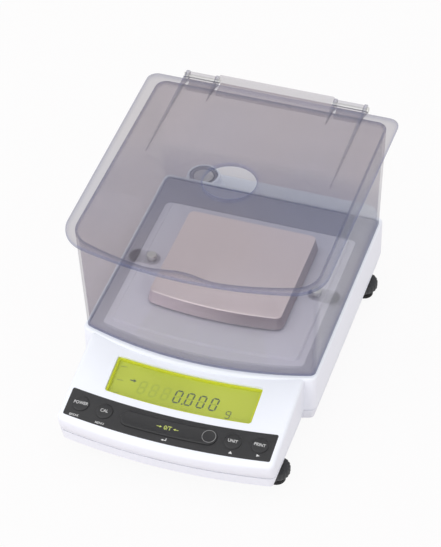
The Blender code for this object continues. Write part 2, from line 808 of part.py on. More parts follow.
def build_lower_case(white):
    """The white tray that everything inside stands on."""
    case = add_solid("lower_case", tray_solid(PARTING_BLOCK), white)
    join(case, "tray_console_form", tray_solid(PARTING_CONSOLE))
    join(case, "tray_tail_form", tray_solid(PARTING_TAIL))
    cut(case, "tray_block_hollow", tray_hollow(PARTING_BLOCK, lambda plan: plan))
    cut(case, "tray_console_hollow", tray_hollow(
        PARTING_CONSOLE, lambda plan: replace(plan, back=PARTING_CONSOLE.back + CASE_EDGE)))
    cut(case, "tray_tail_hollow", tray_hollow(
        PARTING_TAIL, lambda plan: replace(plan, front=PARTING_TAIL.front)))
    join(case, "tray_bosses", pooled(*lower_bosses()))
    below = BODY_BOTTOM - OVERRUN
    stud_top = BODY_BOTTOM - WHEEL_CLEARANCE + STUD_LENGTH + THREAD_CLEARANCE
    bolt_y = CELL_BACK - CELL_BOLT_FROM_END
    cut(case, "tray_holes", pooled(
        *(prism(circle(STUD_RADIUS + THREAD_CLEARANCE, place), below, stud_top)
          for place in foot_places().values()),
        *(turned([(0, below), (SCREW_HEAD_RADIUS + THREAD_CLEARANCE, below),
                  (SCREW_HEAD_RADIUS + THREAD_CLEARANCE, BODY_BOTTOM + SCREW_HEAD + TOUCH_GAP * 2),
                  (SCREW_RADIUS + THREAD_CLEARANCE, BODY_BOTTOM + SCREW_HEAD + TOUCH_GAP * 2),
                  (SCREW_RADIUS + THREAD_CLEARANCE, PARTING_HEIGHT + OVERRUN),
                  (0, PARTING_HEIGHT + OVERRUN)], place, SMALL_STEPS) for place in screw_places()),
        *(prism(circle(CELL_BOLT_RADIUS + THREAD_CLEARANCE, (x, bolt_y)), below, CELL_BOTTOM + OVERRUN)
          for x in (-CELL_BOLT_X, CELL_BOLT_X)),
    ))
    return case


# Console pieces, all in the plane of the console

def build_display(console, clear, lime, glass, lamp):
    """Window, lime border, glass and back light, stacked under the opening."""
    window_top = -WINDOW_SINK
    window_low = window_top - WINDOW_THICKNESS
    add_solid("display_window", prism(display_outline(-TOUCH_GAP), window_low, window_top), clear, console)

    outer = display_outline(-TOUCH_GAP)
    inner = display_outline(-TOUCH_GAP - BORDER_THICKNESS)
    rim = display_outline(FRAME_RIM)
    lip_top = window_low - TOUCH_GAP
    rim_top = -CONSOLE_WALL - TOUCH_GAP
    frame_low = -GLASS_SINK - GLASS_THICKNESS - TOUCH_GAP
    add_solid("display_frame", loft([
        level(rim, frame_low), level(rim, rim_top), level(outer, rim_top), level(outer, lip_top),
        level(inner, lip_top), level(inner, frame_low),
    ], loop=True), lime, console)

    plate = display_outline(-TOUCH_GAP * 2 - BORDER_THICKNESS)
    add_solid("display_glass", prism(plate, -GLASS_SINK - GLASS_THICKNESS, -GLASS_SINK), glass, console)
    lamp_top = frame_low - TOUCH_GAP
    add_solid("display_backlight", prism(rim, lamp_top - BACKLIGHT_THICKNESS, lamp_top), lamp, console)


def key_board_top():
    """Depth of the key board's upper face: the keys' stems stop one travel above it."""
    stem_low = -CONSOLE_WALL - TOUCH_GAP - KEY_FLANGE_THICKNESS - KEY_STEM
    return stem_low - KEY_TRAVEL - TOUCH_GAP


def key_board_middle():
    return KEY_ROW + sagitta(KEY_BOARD_WIDTH / 4, PANEL_BOW)


def key_board_posts():
    """Posts under the console that carry the key board."""
    low = key_board_top() + TOUCH_GAP
    places = [(side * KEY_POST_X, key_board_middle() + end * KEY_POST_SPREAD)
              for side in (-1, 1) for end in (-1, 1)]
    return [prism(circle(KEY_POST_RADIUS, place), low, -CONSOLE_WALL / 2) for place in places]


def build_keypad(console, dark, board):
    """The dark panel with an opening for each key, and the key board below it."""
    top = KEYPAD_PROUD
    panel = add_solid("keypad_panel", prism(keypad_outline(), top - KEYPAD_THICKNESS, top), dark, console)
    cut(panel, "panel_openings", pooled(
        *(prism(outline, top - KEYPAD_THICKNESS - OVERRUN, top + OVERRUN)
          for outline in key_outlines(KEY_CLEARANCE).values())), parent=console)
    half = KEY_BOARD_WIDTH / 2
    middle = key_board_middle()
    reach = KEY_BOARD_DEPTH / 2
    plate = rounded(rectangle(-half, middle - reach, half, middle + reach), KEYPAD_CORNER)
    add_solid("key_board", prism(plate, key_board_top() - BOARD_THICKNESS, key_board_top()), board, console)


def key_solid(outline, centre_path):
    """A key: flange under the console, a straight side, and a crowned top."""
    def grown(distance):
        return key_shape(centre_path, KEY_RADIUS + distance)
    flange_top = -CONSOLE_WALL - TOUCH_GAP
    rings = [
        level(grown(KEY_FLANGE), flange_top - KEY_FLANGE_THICKNESS),
        level(grown(KEY_FLANGE), flange_top),
        level(outline, flange_top),
        level(outline, KEY_PROUD - KEY_CROWN),
        level(grown(-KEY_CROWN), KEY_PROUD),
    ]
    return loft(rings)


def key_shape(path, radius):
    """A circle round one point, or a stroke along several."""
    if len(path) == 1:
        return circle(radius, path[0], ROUND_STEPS)
    return stroke(path, radius)


def build_keys(console, dark):
    """Five keys, each with a short stem towards its switch."""
    paths = {name: [(x, KEY_ROW + sagitta(x, PANEL_BOW))] for name, x in KEY_PLACES.items()}
    paths["tare_key"] = tare_path()
    for name, path in paths.items():
        key = add_solid(name, key_solid(key_shape(path, KEY_RADIUS), path), dark, console)
        middle = path[len(path) // 2]
        set_origin(key, (*middle, 0))
        top = -CONSOLE_WALL - TOUCH_GAP - KEY_FLANGE_THICKNESS / 2
        low = top - KEY_FLANGE_THICKNESS / 2 - KEY_STEM
        join(key, name + "_stem_form", prism(circle(KEY_STEM_RADIUS, middle), low, top), parent=console)


# Draft shield

def scooped(outline, height):
    """Moves the middle of the front wall inwards to make the finger scoop near the top."""
    fade = max(0.0, 1 - (SHIELD_TOP - height) / SCOOP_FALL) ** 2
    result = []
    for x, y in outline:
        if y < LOAD_Y and abs(x) < SCOOP_HALF_WIDTH:
            y += SCOOP_DEPTH * fade * (1 + cos(pi * x / SCOOP_HALF_WIDTH)) / 2
        result.append((x, y, height))
    return result


def build_windbreak(smoke):
    """The shield: a bowed box open at top and bottom, with a hinge rail along its back."""
    heights = [SHIELD_FOOT] + [SHIELD_TOP - SCOOP_FALL * share for share in SCOOP_SHARES]
    outer = []
    inner = []
    for height in heights:
        share = (height - SHIELD_FOOT) / SHIELD_HEIGHT
        plan = SHIELD_LOW.blend(SHIELD_HIGH, share)
        outer.append(scooped(plan.points(), height))
        inner.append(scooped(plan.inset(SHIELD_WALL).points(), height))
    box = add_solid("windbreak_box", loft(outer + inner[::-1], loop=True), smoke)
    set_origin(box, (0, LOAD_Y, SHIELD_FOOT))

    rail_top = HINGE_Z - EAR_RADIUS - TOUCH_GAP
    rail_low = rail_top - RAIL_THICKNESS
    half = EAR_INNER_X - EAR_THICKNESS / 2 - TOUCH_GAP
    near = SHIELD_BACK - SHIELD_WALL
    far = SHIELD_BACK + RAIL_REACH
    start = EAR_INNER_X + EAR_THICKNESS / 2 + TOUCH_GAP
    end = EAR_OUTER_X - EAR_THICKNESS / 2 - TOUCH_GAP
    under = HINGE_Y + KNUCKLE_WEB / 2
    join(box, "rail_form", pooled(
        prism(rounded(rectangle(-half, near, half, far), RAIL_CORNER), rail_low, rail_top),
        prism(rounded(rectangle(start, near, end, under), KNUCKLE_WEB / 8), rail_low, rail_top),
        prism(rounded(rectangle(-end, near, -start, under), KNUCKLE_WEB / 8), rail_low, rail_top)))
    knuckle = knuckle_outline(rail_top - RAIL_THICKNESS / 2)
    join(box, "knuckle_forms", pooled(side_prism(knuckle, start, end), side_prism(knuckle, -end, -start)))
    bore = [(HINGE_Y + y, HINGE_Z + z) for y, z in circle(PIN_RADIUS + TOUCH_GAP)]
    cut(box, "knuckle_bores", pooled(side_prism(bore, start - OVERRUN, end + OVERRUN),
                                     side_prism(bore, -end - OVERRUN, -start + OVERRUN)))


def knuckle_outline(foot):
    """A round barrel on a short web, in Y and Z."""
    opening = asin(KNUCKLE_WEB / 2 / KNUCKLE_RADIUS)
    start = -pi / 2 + opening
    sweep = 2 * pi - 2 * opening
    arc = []
    for i in range(SMALL_STEPS + 1):
        angle = start + sweep * i / SMALL_STEPS
        arc.append((HINGE_Y + KNUCKLE_RADIUS * cos(angle), HINGE_Z + KNUCKLE_RADIUS * sin(angle)))
    half = KNUCKLE_WEB / 2
    return arc + [(HINGE_Y - half, foot), (HINGE_Y + half, foot)]


def build_frame(smoke):
    """The flat frame at the foot of the shield, round the platform, with an ear for each knob."""
    low = SHIELD_FOOT
    high = low + FRAME_THICKNESS
    outer = SHIELD_LOW.inset(SHIELD_WALL + TOUCH_GAP).points()
    inner = FRAME_INNER.points()
    frame = add_solid("windbreak_frame", loft([level(outer, low), level(outer, high), level(inner, high),
                                               level(inner, low)], loop=True), smoke)
    tab = ear_tab(EAR_TAB_RADIUS)
    join(frame, "ear_forms", pooled(*(prism(side, low, high) for side in (tab, mirrored(tab)))))
    cut(frame, "ear_holes", pooled(*(prism(circle(KNOB_SHANK + THREAD_CLEARANCE, (x, LOAD_Y)),
                                           low - OVERRUN, high + OVERRUN) for x in (-KNOB_X, KNOB_X))))


def build_knobs(metal):
    """Two captive knobs that hold the shield down."""
    seat = SHIELD_FOOT + FRAME_THICKNESS + TOUCH_GAP
    tip = DECK_HEIGHT - KNOB_REACH
    top = seat + KNOB_HEIGHT
    profile = [(0, tip), (KNOB_SHANK, tip), (KNOB_SHANK, seat), (KNOB_RADIUS, seat),
               (KNOB_RADIUS, top - KNURL_DEPTH), (KNOB_RADIUS - KNURL_DEPTH, top), (0, top)]
    for name, x in (("lock_knob_left", -KNOB_X), ("lock_knob_right", KNOB_X)):
        knob = add_solid(name, turned(profile, (x, LOAD_Y), knurled=(3, 4)), metal)
        set_origin(knob, (x, LOAD_Y, seat))


# Lid

def rib_outline(length):
    """A tapered rib that rises along the lid to a round ear on the hinge axis, in Y and Z."""
    sunk = LID_TOP - LID_THICKNESS / 2
    points = [(LID_BACK - EAR_RADIUS, sunk - TOUCH_GAP)]
    start = -radians(120)
    sweep = radians(225)
    for i in range(SMALL_STEPS + 1):
        angle = start + sweep * i / SMALL_STEPS
        points.append((HINGE_Y + EAR_RADIUS * cos(angle), HINGE_Z + EAR_RADIUS * sin(angle)))
    return points + [(LID_BACK - length, LID_TOP), (LID_BACK - length, sunk)]


def build_lid(smoke):
    """The lid: a thin bowed plate with a round hole, four ribs and their hinge ears."""
    rings = [
        level(LID_PLAN.inset(LID_EDGE).points(), LID_FOOT),
        level(LID_PLAN.points(), LID_FOOT + LID_EDGE),
        level(LID_PLAN.points(), LID_TOP - LID_EDGE),
        level(LID_PLAN.inset(LID_EDGE).points(), LID_TOP),
    ]
    lid = add_solid("lid", loft(rings), smoke)
    set_origin(lid, (0, HINGE_Y, HINGE_Z))
    half = EAR_THICKNESS / 2
    ribs = []
    for x, length in ((EAR_OUTER_X, RIB_LONG), (EAR_INNER_X, RIB_SHORT)):
        outline = rib_outline(length)
        ribs += [side_prism(outline, side * x - half, side * x + half) for side in (-1, 1)]
    join(lid, "rib_forms", pooled(*ribs))
    hole = circle(HOLE_DIAMETER / 2, (0, LOAD_Y - HOLE_OFFSET), ROUND_STEPS + SMALL_STEPS)
    cut(lid, "lid_hole", prism(hole, LID_FOOT - OVERRUN, LID_TOP + OVERRUN))
    bore = [(HINGE_Y + y, HINGE_Z + z) for y, z in circle(PIN_RADIUS + TOUCH_GAP)]
    near = EAR_INNER_X - half - OVERRUN / 2
    far = EAR_OUTER_X + half + OVERRUN / 2
    cut(lid, "ear_bores", pooled(side_prism(bore, near, far), side_prism(bore, -far, -near)))


def build_pins(metal):
    """A headed pin through the two ears and the knuckle of each hinge."""
    inner = EAR_INNER_X - EAR_THICKNESS / 2 - PIN_HEAD
    outer = EAR_OUTER_X + EAR_THICKNESS / 2 + TOUCH_GAP
    for name, side in (("hinge_pin_left", -1), ("hinge_pin_right", 1)):
        def ring(radius, x, side=side):
            return [(side * x, HINGE_Y + y, HINGE_Z + z) for y, z in circle(radius)]
        rings = [ring(PIN_RADIUS, inner), ring(PIN_RADIUS, outer), ring(PIN_HEAD_RADIUS, outer),
                 ring(PIN_HEAD_RADIUS, outer + PIN_HEAD)]
        add_solid(name, loft(rings), metal)


# Pan

def build_pan(steel, metal):
    """The pan, pressed from sheet, and the support that it sits on."""
    skirt_low = PAN_HEIGHT - PAN_SKIRT
    flared = PAN_PLAN.inset(-PAN_FLARE)
    inner = PAN_PLAN.inset(PAN_EDGE)
    rings = [
        level(inner.inset(PAN_SHEET).points(), PAN_HEIGHT - PAN_SHEET),
        level(PAN_PLAN.inset(PAN_SHEET).points(), PAN_HEIGHT - PAN_SHEET - PAN_EDGE),
        level(flared.inset(PAN_SHEET).points(), skirt_low),
        level(flared.points(), skirt_low),
        level(PAN_PLAN.points(), PAN_HEIGHT - PAN_EDGE),
        level(PAN_PLAN.inset(PAN_EDGE * (1 - cos(pi / 4))).points(),
              PAN_HEIGHT - PAN_EDGE * (1 - sin(pi / 4))),
        level(inner.points(), PAN_HEIGHT),
    ]
    pan = add_solid("weighing_pan", loft(rings), steel)
    set_origin(pan, (0, LOAD_Y, skirt_low))

    top = PAN_HEIGHT - PAN_SHEET - TOUCH_GAP
    plate = top - SUPPORT_PLATE
    hub_low = PLATFORM_TOP + HUB_CLEARANCE
    bore_top = plate - TOUCH_GAP
    profile = [(SUPPORT_BORE + TOUCH_GAP, hub_low), (SUPPORT_HUB, hub_low), (SUPPORT_HUB, plate),
               (SUPPORT_RADIUS, plate + SUPPORT_PLATE / 2), (SUPPORT_RADIUS, top), (0, top)]
    profile = [(0, bore_top), (POST_TIP + TOUCH_GAP, bore_top)] + profile
    support = add_solid("pan_support", turned(profile, (0, LOAD_Y)), metal)
    set_origin(support, (0, LOAD_Y, hub_low))


# Inside

def build_post(metal):
    """The load post between the force cell and the pan support."""
    low = CELL_TOP + TOUCH_GAP
    tip = PAN_HEIGHT - PAN_SHEET - SUPPORT_PLATE - TOUCH_GAP * 3
    hub_low = PLATFORM_TOP + HUB_CLEARANCE
    shoulder = hub_low - TOUCH_GAP
    profile = [(0, low), (POST_RADIUS, low), (POST_RADIUS, shoulder), (SUPPORT_BORE, shoulder),
               (POST_TIP, tip), (0, tip)]
    add_solid("load_post", turned(profile, (0, LOAD_Y)), metal)


def cell_slots():
    """The through cuts that turn one block into beams, a link and a lever, in Y and Z.

    The first cut runs round three sides of the core, from one flexure hole to the other, and
    frees the loaded end. The second frees the lever inside the core.
    """
    near = CELL_FRONT + CELL_MOVING_END + FLEXURE_RADIUS * 2
    far = CELL_BACK - CELL_FOOT_LENGTH - FLEXURE_RADIUS
    high = CELL_TOP - NECK - FLEXURE_RADIUS
    low = CELL_BOTTOM + NECK + FLEXURE_RADIUS
    half = SLOT_WIDTH / 2
    around = [
        (near - half, low - half), (far, low - half), (far, low + half), (near + half, low + half),
        (near + half, high - half), (far, high - half), (far, high + half), (near - half, high + half),
    ]
    lever_top = high - LEVER_THICKNESS
    lever_low = lever_top - LEVER_THICKNESS
    inside = near + FLEXURE_RADIUS * 2
    under = [
        (inside - half, lever_low - half), (far, lever_low - half), (far, lever_low + half),
        (inside + half, lever_low + half), (inside + half, lever_top - half),
        (far + FLEXURE_RADIUS, lever_top - half), (far + FLEXURE_RADIUS, lever_top + half),
        (inside - half, lever_top + half),
    ]
    return around, under


def flexure_places():
    """Centres of the round holes beside the thin necks, in Y and Z."""
    near = CELL_FRONT + CELL_MOVING_END + FLEXURE_RADIUS * 2
    far = CELL_BACK - CELL_FOOT_LENGTH - FLEXURE_RADIUS
    high = CELL_TOP - NECK - FLEXURE_RADIUS
    low = CELL_BOTTOM + NECK + FLEXURE_RADIUS
    return [(y, z) for z in (low, high) for y in (near, far)]


def build_cell(metal, steel):
    """The force cell: one block, cut through so that thin necks carry the load to a lever."""
    half = CELL_WIDTH / 2
    block = rounded([(CELL_FRONT, CELL_BOTTOM), (CELL_BACK, CELL_BOTTOM), (CELL_BACK, CELL_TOP),
                     (CELL_FRONT, CELL_TOP)], NECK)
    cell = add_solid("force_cell", side_prism(block, -half, half), metal)
    wide = half + OVERRUN
    around, under = cell_slots()
    cut(cell, "cell_slots", pooled(side_prism(around, -wide, wide), side_prism(under, -wide, wide)))
    holes = [side_prism([(y + dy, z + dz) for dy, dz in circle(FLEXURE_RADIUS)], -wide, wide)
             for y, z in flexure_places()]
    cut(cell, "flexure_holes", pooled(*holes))
    far = CELL_BACK - CELL_FOOT_LENGTH - FLEXURE_RADIUS
    lever_low = CELL_TOP - NECK - FLEXURE_RADIUS - LEVER_THICKNESS * 2
    fulcrum = [side_prism([(far + dy, lever_low + dz) for dy, dz in circle(FULCRUM_RADIUS)], -wide, wide),
               side_prism([(far + dy, lever_low + FULCRUM_RADIUS * 2 + NECK + dz)
                           for dy, dz in circle(FULCRUM_RADIUS)], -wide, wide)]
    cut(cell, "fulcrum_holes", pooled(*fulcrum))
    bolt_y = CELL_BACK - CELL_BOLT_FROM_END
    grip = CELL_BOTTOM + CELL_FOOT_LENGTH / 2
    cut(cell, "cell_bolt_holes", pooled(*(
        prism(circle(CELL_BOLT_RADIUS + THREAD_CLEARANCE, (x, bolt_y)), CELL_BOTTOM - OVERRUN, grip)
        for x in (-CELL_BOLT_X, CELL_BOLT_X))))
    head = BODY_BOTTOM - TOUCH_GAP
    for name, x in (("cell_bolt_left", -CELL_BOLT_X), ("cell_bolt_right", CELL_BOLT_X)):
        profile = [(0, head - SCREW_HEAD / 2), (SCREW_HEAD_RADIUS, head - SCREW_HEAD / 2),
                   (SCREW_HEAD_RADIUS, head), (CELL_BOLT_RADIUS, head),
                   (CELL_BOLT_RADIUS, grip - THREAD_CLEARANCE), (0, grip - THREAD_CLEARANCE)]
        add_solid(name, turned(profile, (x, bolt_y), SMALL_STEPS), steel)


def build_motor(steel, copper, metal):
    """The force motor behind the cell: magnet, coil, and the arm that carries the coil."""
    centre = (0, CELL_BACK + MAGNET_FROM_CELL)
    low = FLOOR_TOP + TOUCH_GAP
    high = low + MAGNET_HEIGHT
    groove = high - MAGNET_GROOVE_DEPTH
    edge = CASE_EDGE / 2
    profile = [(0, low), (MAGNET_RADIUS, low), (MAGNET_RADIUS, high - edge), (MAGNET_RADIUS - edge, high),
               (MAGNET_GROOVE_OUTER, high), (MAGNET_GROOVE_OUTER, groove), (MAGNET_GROOVE_INNER, groove),
               (MAGNET_GROOVE_INNER, high), (0, high)]
    add_solid("magnet_housing", turned(profile, centre), steel)
    coil_top = groove + COIL_HEIGHT + CASE_WALL
    coil_low = coil_top - COIL_HEIGHT
    coil = [(COIL_OUTER, coil_low), (COIL_OUTER, coil_top), (COIL_INNER, coil_top), (COIL_INNER, coil_low)]
    add_solid("force_coil", ring_solid(coil, centre), copper)
    beside = CELL_WIDTH / 2 + TOUCH_GAP
    arm_low = coil_top + TOUCH_GAP
    middle = centre[1]
    tip = middle + ARM_DEPTH / 2 - ARM_LENGTH
    outline = [
        (beside, tip), (beside + ARM_THICKNESS, tip),
        (beside + ARM_THICKNESS, middle + ARM_DEPTH / 2), (-COIL_OUTER, middle + ARM_DEPTH / 2),
        (-COIL_OUTER, middle - ARM_DEPTH / 2), (beside, middle - ARM_DEPTH / 2),
    ]
    add_solid("lever_arm", prism(outline, arm_low, arm_low + ARM_THICKNESS), metal)


def build_boards(board):
    """The main board on its posts."""
    front = NOSE_Y + MAIN_BOARD_FROM_NOSE
    half = MAIN_BOARD_WIDTH / 2
    low = FLOOR_TOP + MAIN_BOARD_STANDOFF + TOUCH_GAP
    outline = rounded(rectangle(-half, front, half, front + MAIN_BOARD_DEPTH), KEYPAD_CORNER)
    add_solid("main_board", prism(outline, low, low + BOARD_THICKNESS), board)


def build_level(clear, dark):
    """The round level: a vial under a dark ring."""
    seat = LEVEL_HEIGHT - LEVEL_LIP - VIAL_HEIGHT
    top = LEVEL_HEIGHT - LEVEL_LIP
    centre = (LEVEL_X, LEVEL_Y)
    waist = top - RING_HEIGHT - TOUCH_GAP
    inner = VIAL_RADIUS
    add_solid("level_vial", turned([(0, seat), (RING_RADIUS, seat), (RING_RADIUS, waist), (inner, waist),
                                    (inner, top), (0, top)], centre), clear)
    bore = inner + TOUCH_GAP
    low = top - RING_HEIGHT
    add_solid("level_ring", ring_solid([(RING_RADIUS, low), (RING_RADIUS, top), (bore, top), (bore, low)],
                                       centre), dark)


def build_sockets(dark, metal):
    """The power inlet and the serial port in the back wall."""
    outside = TAIL_Y - PORT_LIP
    middle = (POWER_X, PORT_HEIGHT)
    rings = []
    for radius, depth in ((POWER_RADIUS, POWER_DEPTH), (POWER_RADIUS, 0), (POWER_BORE, 0),
                          (POWER_BORE, POWER_SOCKET_DEPTH), (POWER_PIN, POWER_SOCKET_DEPTH),
                          (POWER_PIN, PORT_LIP)):
        rings.append([(x, outside - depth, z) for x, z in circle(radius, middle, SMALL_STEPS)])
    add_solid("power_inlet", loft(rings), dark)

    front = outside - PORT_DEPTH
    port = add_solid("serial_port", back_prism(port_outline(), front, outside), metal)
    socket = back_prism(port_outline(-PORT_LIP), outside - PORT_SOCKET_DEPTH, outside + OVERRUN)
    cut(port, "port_socket", socket)


# Feet and screws

def build_feet(dark, rubber):
    """Four levelling feet: a knurled wheel on a stud, over a rubber pad."""
    wheel_top = BODY_BOTTOM - WHEEL_CLEARANCE
    wheel_low = wheel_top - WHEEL_THICKNESS
    hub = PAD_RADIUS - PAD_CHAMFER
    hub_low = PAD_THICKNESS + TOUCH_GAP
    stud_top = wheel_top + STUD_LENGTH
    wheel = [(0, hub_low), (hub, hub_low), (hub, wheel_low), (WHEEL_RADIUS - WHEEL_CHAMFER, wheel_low),
             (WHEEL_RADIUS, wheel_low + WHEEL_CHAMFER), (WHEEL_RADIUS, wheel_top - WHEEL_CHAMFER),
             (WHEEL_RADIUS - WHEEL_CHAMFER, wheel_top), (STUD_RADIUS, wheel_top), (STUD_RADIUS, stud_top),
             (0, stud_top)]
    pad = [(0, 0), (PAD_RADIUS, 0), (PAD_RADIUS, PAD_THICKNESS - PAD_CHAMFER),
           (PAD_RADIUS - PAD_CHAMFER, PAD_THICKNESS), (0, PAD_THICKNESS)]
    for name, place in foot_places().items():
        knurled_wheel = turned(wheel, place, KNURL_COUNT * 2, knurled=(4, 5))
        for piece in (add_solid("foot_wheel_" + name, knurled_wheel, dark),
                      add_solid("foot_pad_" + name, turned(pad, place, SMALL_STEPS), rubber)):
            set_origin(piece, (*place, 0))


def build_screws(steel):
    """The four screws that hold the case together, heads sunk in the lower case."""
    low = BODY_BOTTOM + TOUCH_GAP
    head = low + SCREW_HEAD
    tip = PARTING_HEIGHT + SCREW_GRIP
    profile = [(0, low + SOCKET_DEPTH), (SOCKET_RADIUS, low + SOCKET_DEPTH), (SOCKET_RADIUS, low),
               (SCREW_HEAD_RADIUS, low), (SCREW_HEAD_RADIUS, head), (SCREW_RADIUS, head), (SCREW_RADIUS, tip),
               (0, tip)]
    names = ("front_left", "front_right", "rear_left", "rear_right")
    for name, place in zip(names, screw_places()):
        add_solid("case_screw_" + name, turned(profile, place, SMALL_STEPS), steel)


def main():
    for thing in list(bpy.data.objects):
        bpy.data.objects.remove(thing, do_unlink=True)

    white = finish("white_shell", (0.87, 0.88, 0.90), 0.45)
    dark = finish("dark_panel", (0.035, 0.035, 0.037), 0.5)
    key_dark = finish("key_dark", (0.022, 0.022, 0.024), 0.45)
    clear = finish("clear_window", (0.9, 0.95, 0.85), 0.05, alpha=0.25)
    lime = finish("lime_border", (0.42, 0.46, 0.01), 0.5)
    glass = finish("display_field", (0.47, 0.53, 0.07), 0.3)
    lamp = finish("back_light", (0.85, 0.9, 0.5), 0.6)
    smoke = finish("smoke_plastic", (0.45, 0.46, 0.52), 0.08, alpha=0.45)
    frame = finish("smoke_frame", (0.24, 0.24, 0.30), 0.2, alpha=0.6)
    steel = finish("pan_steel", (0.62, 0.60, 0.59), 0.3, metallic=1.0)
    plain_steel = finish("plated_steel", (0.60, 0.60, 0.60), 0.35, metallic=1.0)
    alloy = finish("alloy", (0.75, 0.76, 0.78), 0.4, metallic=1.0)
    copper = finish("copper", (0.70, 0.35, 0.18), 0.4, metallic=1.0)
    board = finish("circuit_board", (0.03, 0.22, 0.08), 0.5)
    rubber = finish("black_rubber", (0.02, 0.02, 0.02), 0.8)

    console = bpy.data.objects.new("console_plane", None)
    bpy.context.collection.objects.link(console)
    console.location = (0, CONSOLE_Y, CONSOLE_Z)
    console.rotation_euler = (CONSOLE_TILT, 0, 0)

    build_upper_case(white, console)
    build_lower_case(white)
    build_display(console, clear, lime, glass, lamp)
    build_keypad(console, dark, board)
    build_keys(console, key_dark)
    build_windbreak(smoke)
    build_frame(frame)
    build_knobs(plain_steel)
    build_lid(smoke)
    build_pins(plain_steel)
    build_pan(steel, alloy)
    build_post(plain_steel)
    build_cell(alloy, plain_steel)
    build_motor(plain_steel, copper, alloy)
    build_boards(board)
    build_level(clear, dark)
    build_sockets(dark, plain_steel)
    build_feet(dark, rubber)
    build_screws(plain_steel)


main()
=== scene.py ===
# %% [markdown]
# # A precision balance under a smoky draft shield
#
# The balance is a low white case with a sloping console, a steel pan, and a box of thin smoky plastic
# with a lid that tips up at the back. This notebook dresses its exact model, piece by piece. Most
# pieces are surfaces worked out with numpy: a closed curve seen from above, repeated at many heights.

import bmesh
import bpy
import numpy as np
from math import cos, pi, radians, sin
from mathutils import Matrix, Vector


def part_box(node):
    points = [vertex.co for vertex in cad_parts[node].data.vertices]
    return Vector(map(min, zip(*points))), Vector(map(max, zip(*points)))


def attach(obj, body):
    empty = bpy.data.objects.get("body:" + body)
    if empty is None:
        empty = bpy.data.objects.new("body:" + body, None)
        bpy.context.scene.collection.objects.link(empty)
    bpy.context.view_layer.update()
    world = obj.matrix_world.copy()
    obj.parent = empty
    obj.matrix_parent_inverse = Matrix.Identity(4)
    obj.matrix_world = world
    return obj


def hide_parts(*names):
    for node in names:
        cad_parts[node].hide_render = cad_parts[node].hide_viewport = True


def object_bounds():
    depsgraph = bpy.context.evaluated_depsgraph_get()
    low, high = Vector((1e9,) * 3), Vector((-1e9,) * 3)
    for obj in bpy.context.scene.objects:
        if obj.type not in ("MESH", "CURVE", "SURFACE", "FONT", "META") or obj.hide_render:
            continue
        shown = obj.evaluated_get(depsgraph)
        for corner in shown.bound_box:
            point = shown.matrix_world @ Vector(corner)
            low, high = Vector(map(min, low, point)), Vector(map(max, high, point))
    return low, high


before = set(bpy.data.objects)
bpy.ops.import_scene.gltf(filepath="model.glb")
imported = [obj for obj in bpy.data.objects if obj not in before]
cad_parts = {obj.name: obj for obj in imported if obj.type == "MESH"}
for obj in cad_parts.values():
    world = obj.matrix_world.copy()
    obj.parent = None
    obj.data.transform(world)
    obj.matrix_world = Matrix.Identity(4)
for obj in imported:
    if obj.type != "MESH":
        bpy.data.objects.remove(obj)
model_box = [list(corner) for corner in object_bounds()]
MM = 0.001
print("model box in mm:", [[round(v / MM, 1) for v in corner] for corner in model_box])

# %% [markdown]
# ## Places that many pieces share
#
# A few nodes of the model give the places that the surfaces need: the foot of the shield, the top of
# the pan and the axis of the lid's hinge. Reading them from the model keeps each surface where the
# mechanism is, so that nothing has to be fitted by eye afterwards.

# %% Shared places
pan_low, pan_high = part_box("weighing_pan")
shield_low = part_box("windbreak_box")[0]
pin_low, pin_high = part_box("hinge_pin_left")

LOAD_Y = (pan_low.y + pan_high.y) / 2
DECK = shield_low.z - 0.3 * MM
HINGE = Vector((0, (pin_low.y + pin_high.y) / 2, (pin_low.z + pin_high.z) / 2))
LID_TOP = HINGE.z + 0.7 * MM
NOSE = model_box[0][1]
TAIL = model_box[1][1]
SHIELD_FRONT = NOSE + 77 * MM
SHIELD_BACK = SHIELD_FRONT + 203.8 * MM
PARTING = 29 * MM
print("deck %.1f mm, load at y %.1f mm, hinge at %s mm"
      % (DECK / MM, LOAD_Y / MM, [round(v / MM, 1) for v in HINGE]))

# %% [markdown]
# ## Curves and skins
#
# Almost every moulding here is the same kind of outline: a front that bows gently towards the user,
# two straight sides, and rounded corners. One function draws it with a fixed number of points, so
# two outlines of different sizes always match point for point and can be skinned together.

# %% Outline and skin helpers


def outline(half_width, front, back, bow, front_corner, back_corner, taper=0.0):
    """Closed plan curve, one row per point, that starts in the middle of the bowed front.

    The front is an arc of radius bow, from its lowest point at x = 0 up to where it touches the
    corner circle. Each corner is an arc tangent to both its neighbours. The sides and the back are
    straight. Taper narrows the front: the width falls in proportion to the distance from the back.
    """
    centre = front + bow
    reach, side = bow - front_corner, half_width - front_corner
    turn = np.arcsin(side / reach)
    drop = np.sqrt(reach ** 2 - side ** 2)
    a = np.linspace(0, turn, 40)
    b = np.linspace(turn, pi / 2, 15)[1:]
    c = np.linspace(pi / 2, pi, 13)
    s = np.linspace(0, 1, 26)[1:-1]
    corner_y = centre - drop
    right = np.concatenate([
        np.stack([bow * np.sin(a), centre - bow * np.cos(a)], 1),
        np.stack([side + front_corner * np.sin(b), corner_y - front_corner * np.cos(b)], 1),
        np.stack([np.full_like(s, half_width), corner_y + (back - back_corner - corner_y) * s], 1),
        np.stack([half_width - back_corner + back_corner * np.sin(c),
                  back - back_corner - back_corner * np.cos(c)], 1),
        np.stack([(half_width - back_corner) * (1 - s[::2]), np.full_like(s[::2], back)], 1),
        [[0.0, back]],
    ])
    right[:, 0] *= 1 - taper / half_width * (back - right[:, 1]) / (back - front)
    return np.concatenate([right, right[-2:0:-1] * [-1, 1]])


